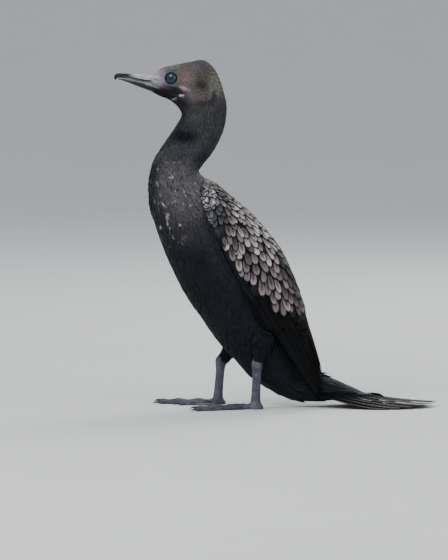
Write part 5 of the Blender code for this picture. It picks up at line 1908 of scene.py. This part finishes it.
@dataclass
class Foot:
    """A shank with its webbed foot, its scutes and claws."""

    leg: Limb
    drawing: Drawing
    finishes: Finishes
    toes: tuple = (Toe(19.0, 68.0, 3.3, 6.0), Toe(-3.0, 62.0, 3.4, 7.5), Toe(-27.0, 43.0, 3.2, 7.0),
                   Toe(-78.0, 24.0, 2.8, 7.0))
    web_top: float = 1.5
    web_sag: float = 0.14
    shank_radii: tuple = (4.7, 3.3)
    heel_radii: tuple = (6.0, 4.7)
    ankle_radii: tuple = (5.2, 4.4)

    def build(self) -> list[bpy.types.Object]:
        """Builds the shank with the foot, and the claws."""
        word = self.leg.side.word
        heel, ankle = (self.leg.joint(name, self.drawing) for name in ("heel", "ankle"))
        start = ankle * [1, 1, 0]
        headings = [self.heading(toe) for toe in self.toes]
        tips = [start + heading * toe.length for toe, heading in zip(self.toes, headings)]
        parts = [self.shank(heel, ankle), self.block(ankle)]
        parts += [self.toe(start, heading, toe) for toe, heading in zip(self.toes, headings)]
        parts += [self.web(start, tip, other) for tip, other in zip(tips, tips[1:])]
        foot = remeshed(new_mesh_object(f"foot_skin_{word}", *joined(parts)), 0.62, 3)
        keep_above_floor(foot.data, 0.0)
        foot.data.materials.append(self.finishes.leg)
        foot.data.shade_smooth()
        horn = [self.claw(*ray) for ray in zip(tips, headings, self.toes)]
        claws = new_mesh_object(f"claws_{word}", *joined(horn))
        face_outwards(claws)
        claws.data.materials.append(self.finishes.claw)
        return [foot, claws]

    def shank(self, heel: np.ndarray, ankle: np.ndarray) -> tuple[np.ndarray, list]:
        """The scaled shank from inside the thigh to the ankle."""
        down = ankle - heel
        knots = np.array([
            [*(heel - unit(down) * 6.0), 4.6, 3.6],
            [*(heel - unit(down) * 2.0), *self.heel_radii],
            [*(heel + unit(down) * 2.5), self.heel_radii[0] * 0.95, self.heel_radii[1] * 0.95],
            [*(heel + down * 0.28), *self.shank_radii],
            [*(heel + down * 0.75), *self.shank_radii],
            [*ankle, *self.ankle_radii],
            [*(ankle - UP * 4.0), 6.0, 5.2],
        ])
        rows = spline(knots, np.linspace(0.0, len(knots) - 1.0, 40))
        return tube(np.array([leg_ring(row[:3], -UP, row[3], row[4], 24) for row in rows]))

    def block(self, ankle: np.ndarray) -> tuple[np.ndarray, list]:
        """The heel of the foot where the toes meet."""
        knots = np.array([[0.0, 8.2], [2.0, 8.4], [4.0, 7.4], [6.0, 6.0], [8.0, 5.0]])
        rows, base = spline(knots, np.linspace(0, 4, 14)), ankle * [1, 1, 0]
        return tube(np.array([leg_ring(base + UP * z, -UP, r, r * 0.82, 24) for z, r in rows]))

    def heading(self, toe: Toe) -> np.ndarray:
        """The way that a toe points on the floor."""
        angle = math.radians(self.leg.yaw + toe.angle)
        return np.array([-math.cos(angle), self.leg.side.value * math.sin(angle), 0.0])

    def toe(self, start: np.ndarray, heading: np.ndarray, toe: Toe) -> tuple[np.ndarray, list]:
        """A toe with its joints and rings of scales."""
        side, turn = np.cross(UP, heading), full_turn(20)[:, None]
        rings = []
        for t in np.linspace(-0.06, 1.0, 64):
            knuckle = 1 + 0.16 * math.cos(math.pi * 6 * t)
            knuckle += 0.035 * math.cos(2 * math.pi * toe.length * t / 2.3)
            end = math.sqrt(max(1 - max((t - 0.93) / 0.08, 0.0) ** 2, 0.15))
            radius = toe.radius * (1 - 0.42 * max(t, 0.0)) * knuckle * end
            raised = radius * 0.82 + 1.2 * max(0.0, 0.25 - t) * 4
            place = start + heading * toe.length * t + UP * raised
            ring = place + radius * (side * np.cos(turn) + UP * np.sin(turn))
            ring[:, 2] = np.maximum(ring[:, 2], 0.0)
            rings.append(ring)
        return tube(np.array(rings))

    def claw(self, tip: np.ndarray, heading: np.ndarray, toe: Toe) -> tuple[np.ndarray, list]:
        """A curved claw that bends down to the floor."""
        side, turn = np.cross(UP, heading), full_turn(14)[:, None]
        rings = []
        for t in np.linspace(-0.35, 1.0, 18):
            fore = max(t, 0.0)
            place = tip + heading * toe.claw * t + UP * (1.9 + 1.3 * math.sin(2.4 * fore) - 2.2 * fore)
            radius = np.interp(t, [-0.35, 0.0, 0.35, 0.7, 1.0], [1.2, 1.4, 1.1, 0.7, 0.2])
            ring = place + radius * (side * 0.8 * np.cos(turn) + UP * np.sin(turn))
            ring[:, 2] = np.maximum(ring[:, 2], 0.0)
            rings.append(ring)
        return tube(np.array(rings))

    def web(self, start: np.ndarray, tip: np.ndarray, other: np.ndarray) -> tuple[np.ndarray, list]:
        """The web between two toes, with its front edge drawn in and faint folds."""
        across, out = np.linspace(0, 1, 25), np.linspace(0.06, 1.0, 30)
        edge = tip + (other - tip) * across[:, None]
        reach = 0.97 - self.web_sag * np.sin(math.pi * across)
        flat = start + (edge - start)[None] * (reach[None] * out[:, None])[..., None]
        folds = 0.28 * np.sin(across * math.pi * 7)[None] * np.sin(math.pi * out)[:, None]
        top = flat + UP * (self.web_top + 0.5 * (1 - out[:, None]) + folds)[..., None]
        return slab(top, flat * [1, 1, 0])


@dataclass
class Studio:
    """A pale floor, soft lights and a long lens at the photograph's viewing angle."""

    drawing: Drawing
    finishes: Finishes
    frame_height: float = 588.0
    target: tuple = (-6.3, 0.0, 133.4)
    elevation: float = 4.0
    distance: float = 7000.0
    floor_span: float = 40000.0
    lit_spot: tuple = (0.0, 0.0, 0.18)

    def build(self) -> None:
        """Builds floor, lights and camera."""
        self.floor()
        self.camera()
        self.light("key", (-1.1, -1.5, 1.9), 46.0, 1.3)
        self.light("fill", (1.8, -1.6, 1.0), 20.0, 1.6)
        self.light("rim", (0.7, 1.7, 1.7), 34.0, 1.2)
        world = bpy.data.worlds.new("studio")
        world.use_nodes = True
        sky = world.node_tree.nodes["Background"]
        Board(world.node_tree).feed_all(sky, Color=(0.86, 0.90, 0.96, 1.0), Strength=0.75)
        bpy.context.scene.world = world

    def floor(self) -> None:
        """A wide floor that reaches past every view."""
        span = self.floor_span
        corners = np.array([(-span, -span, 0), (span, -span, 0), (span, span, 0), (-span, span, 0)], float)
        floor = new_mesh_object("studio_floor", corners, [(0, 1, 2, 3)])
        floor.data.materials.append(self.finishes.floor)

    def camera(self) -> None:
        """The camera, which frames the bird as the photograph does."""
        lens = bpy.data.cameras.new("camera")
        lens.sensor_width = 36.0
        lens.lens = lens.sensor_width * self.distance / self.frame_height
        lens.clip_end = 100.0
        camera = bpy.data.objects.new("camera", lens)
        tilt = math.radians(self.elevation)
        back = Vector((0.0, -math.cos(tilt), math.sin(tilt)))
        target = Vector(self.drawing.place(self.target)) * MM
        camera.location = target + back * self.distance * MM
        camera.rotation_euler = (-back).to_track_quat("-Z", "Y").to_euler()
        bpy.context.scene.collection.objects.link(camera)
        bpy.context.scene.camera = camera

    def light(self, name: str, place: tuple, power: float, size: float) -> None:
        """A soft square light that looks at the bird's breast.

        Args:
            name: The light's name.
            place: Where it stands, in metres.
            power: Its power in watts.
            size: The length of its sides, in metres.
        """
        lamp = bpy.data.lights.new(name, "AREA")
        lamp.energy, lamp.size = power, size
        made = bpy.data.objects.new(name, lamp)
        made.location = place
        made.rotation_euler = (Vector(place) - Vector(self.lit_spot)).to_track_quat("Z", "Y").to_euler()
        bpy.context.scene.collection.objects.link(made)


def take(pieces: list[bpy.types.Object], slot: str, *nodes: str) -> None:
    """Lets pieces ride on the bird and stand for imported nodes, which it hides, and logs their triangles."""
    for piece in pieces:
        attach(piece, "root")
        if nodes:
            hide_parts(*nodes)
        log.info("%s: %d triangles", piece.name, len(piece.data.loops) - 2 * len(piece.data.polygons))


def main() -> None:
    """Builds the bird and its studio."""
    logging.basicConfig(level=logging.INFO, format="%(name)s %(message)s")
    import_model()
    drawing, finishes = Drawing(), Finishes()
    body = BodyForm(drawing)
    wings = tuple(WingForm(drawing, side) for side in Side)
    skin = Skin(body, wings, finishes).build()
    tree = CoatTree()
    coat = Coat(skin, tree, finishes).build()
    flesh = ("head", "neck_upper", "neck_lower", "torso", "thigh_left", "thigh_right")
    take([skin, *coat], "body_feathers", *flesh)
    for form in wings:
        wing = Wing(form, finishes)
        take(wing.build(tree), "wing_feathers", f"wing_{form.side.word}")
        take(Eye(form.side, finishes).build(), "eye", f"eye_{form.side.word}")
    take([Mantle(Wing(wings[0], finishes)).build()], "wing_feathers", "wing_left", "wing_right")
    take([Tail(drawing, finishes).build()], "tail_feathers", "tail")
    take(Bill(drawing, finishes).build(), "bill", "bill_upper", "bill_lower")
    for leg in LEGS:
        word = leg.side.word
        take(Foot(leg, drawing, finishes).build(), "leg_skin", f"shank_{word}", f"foot_{word}")
    Studio(drawing, finishes).build()


if __name__ == "__main__":
    main()
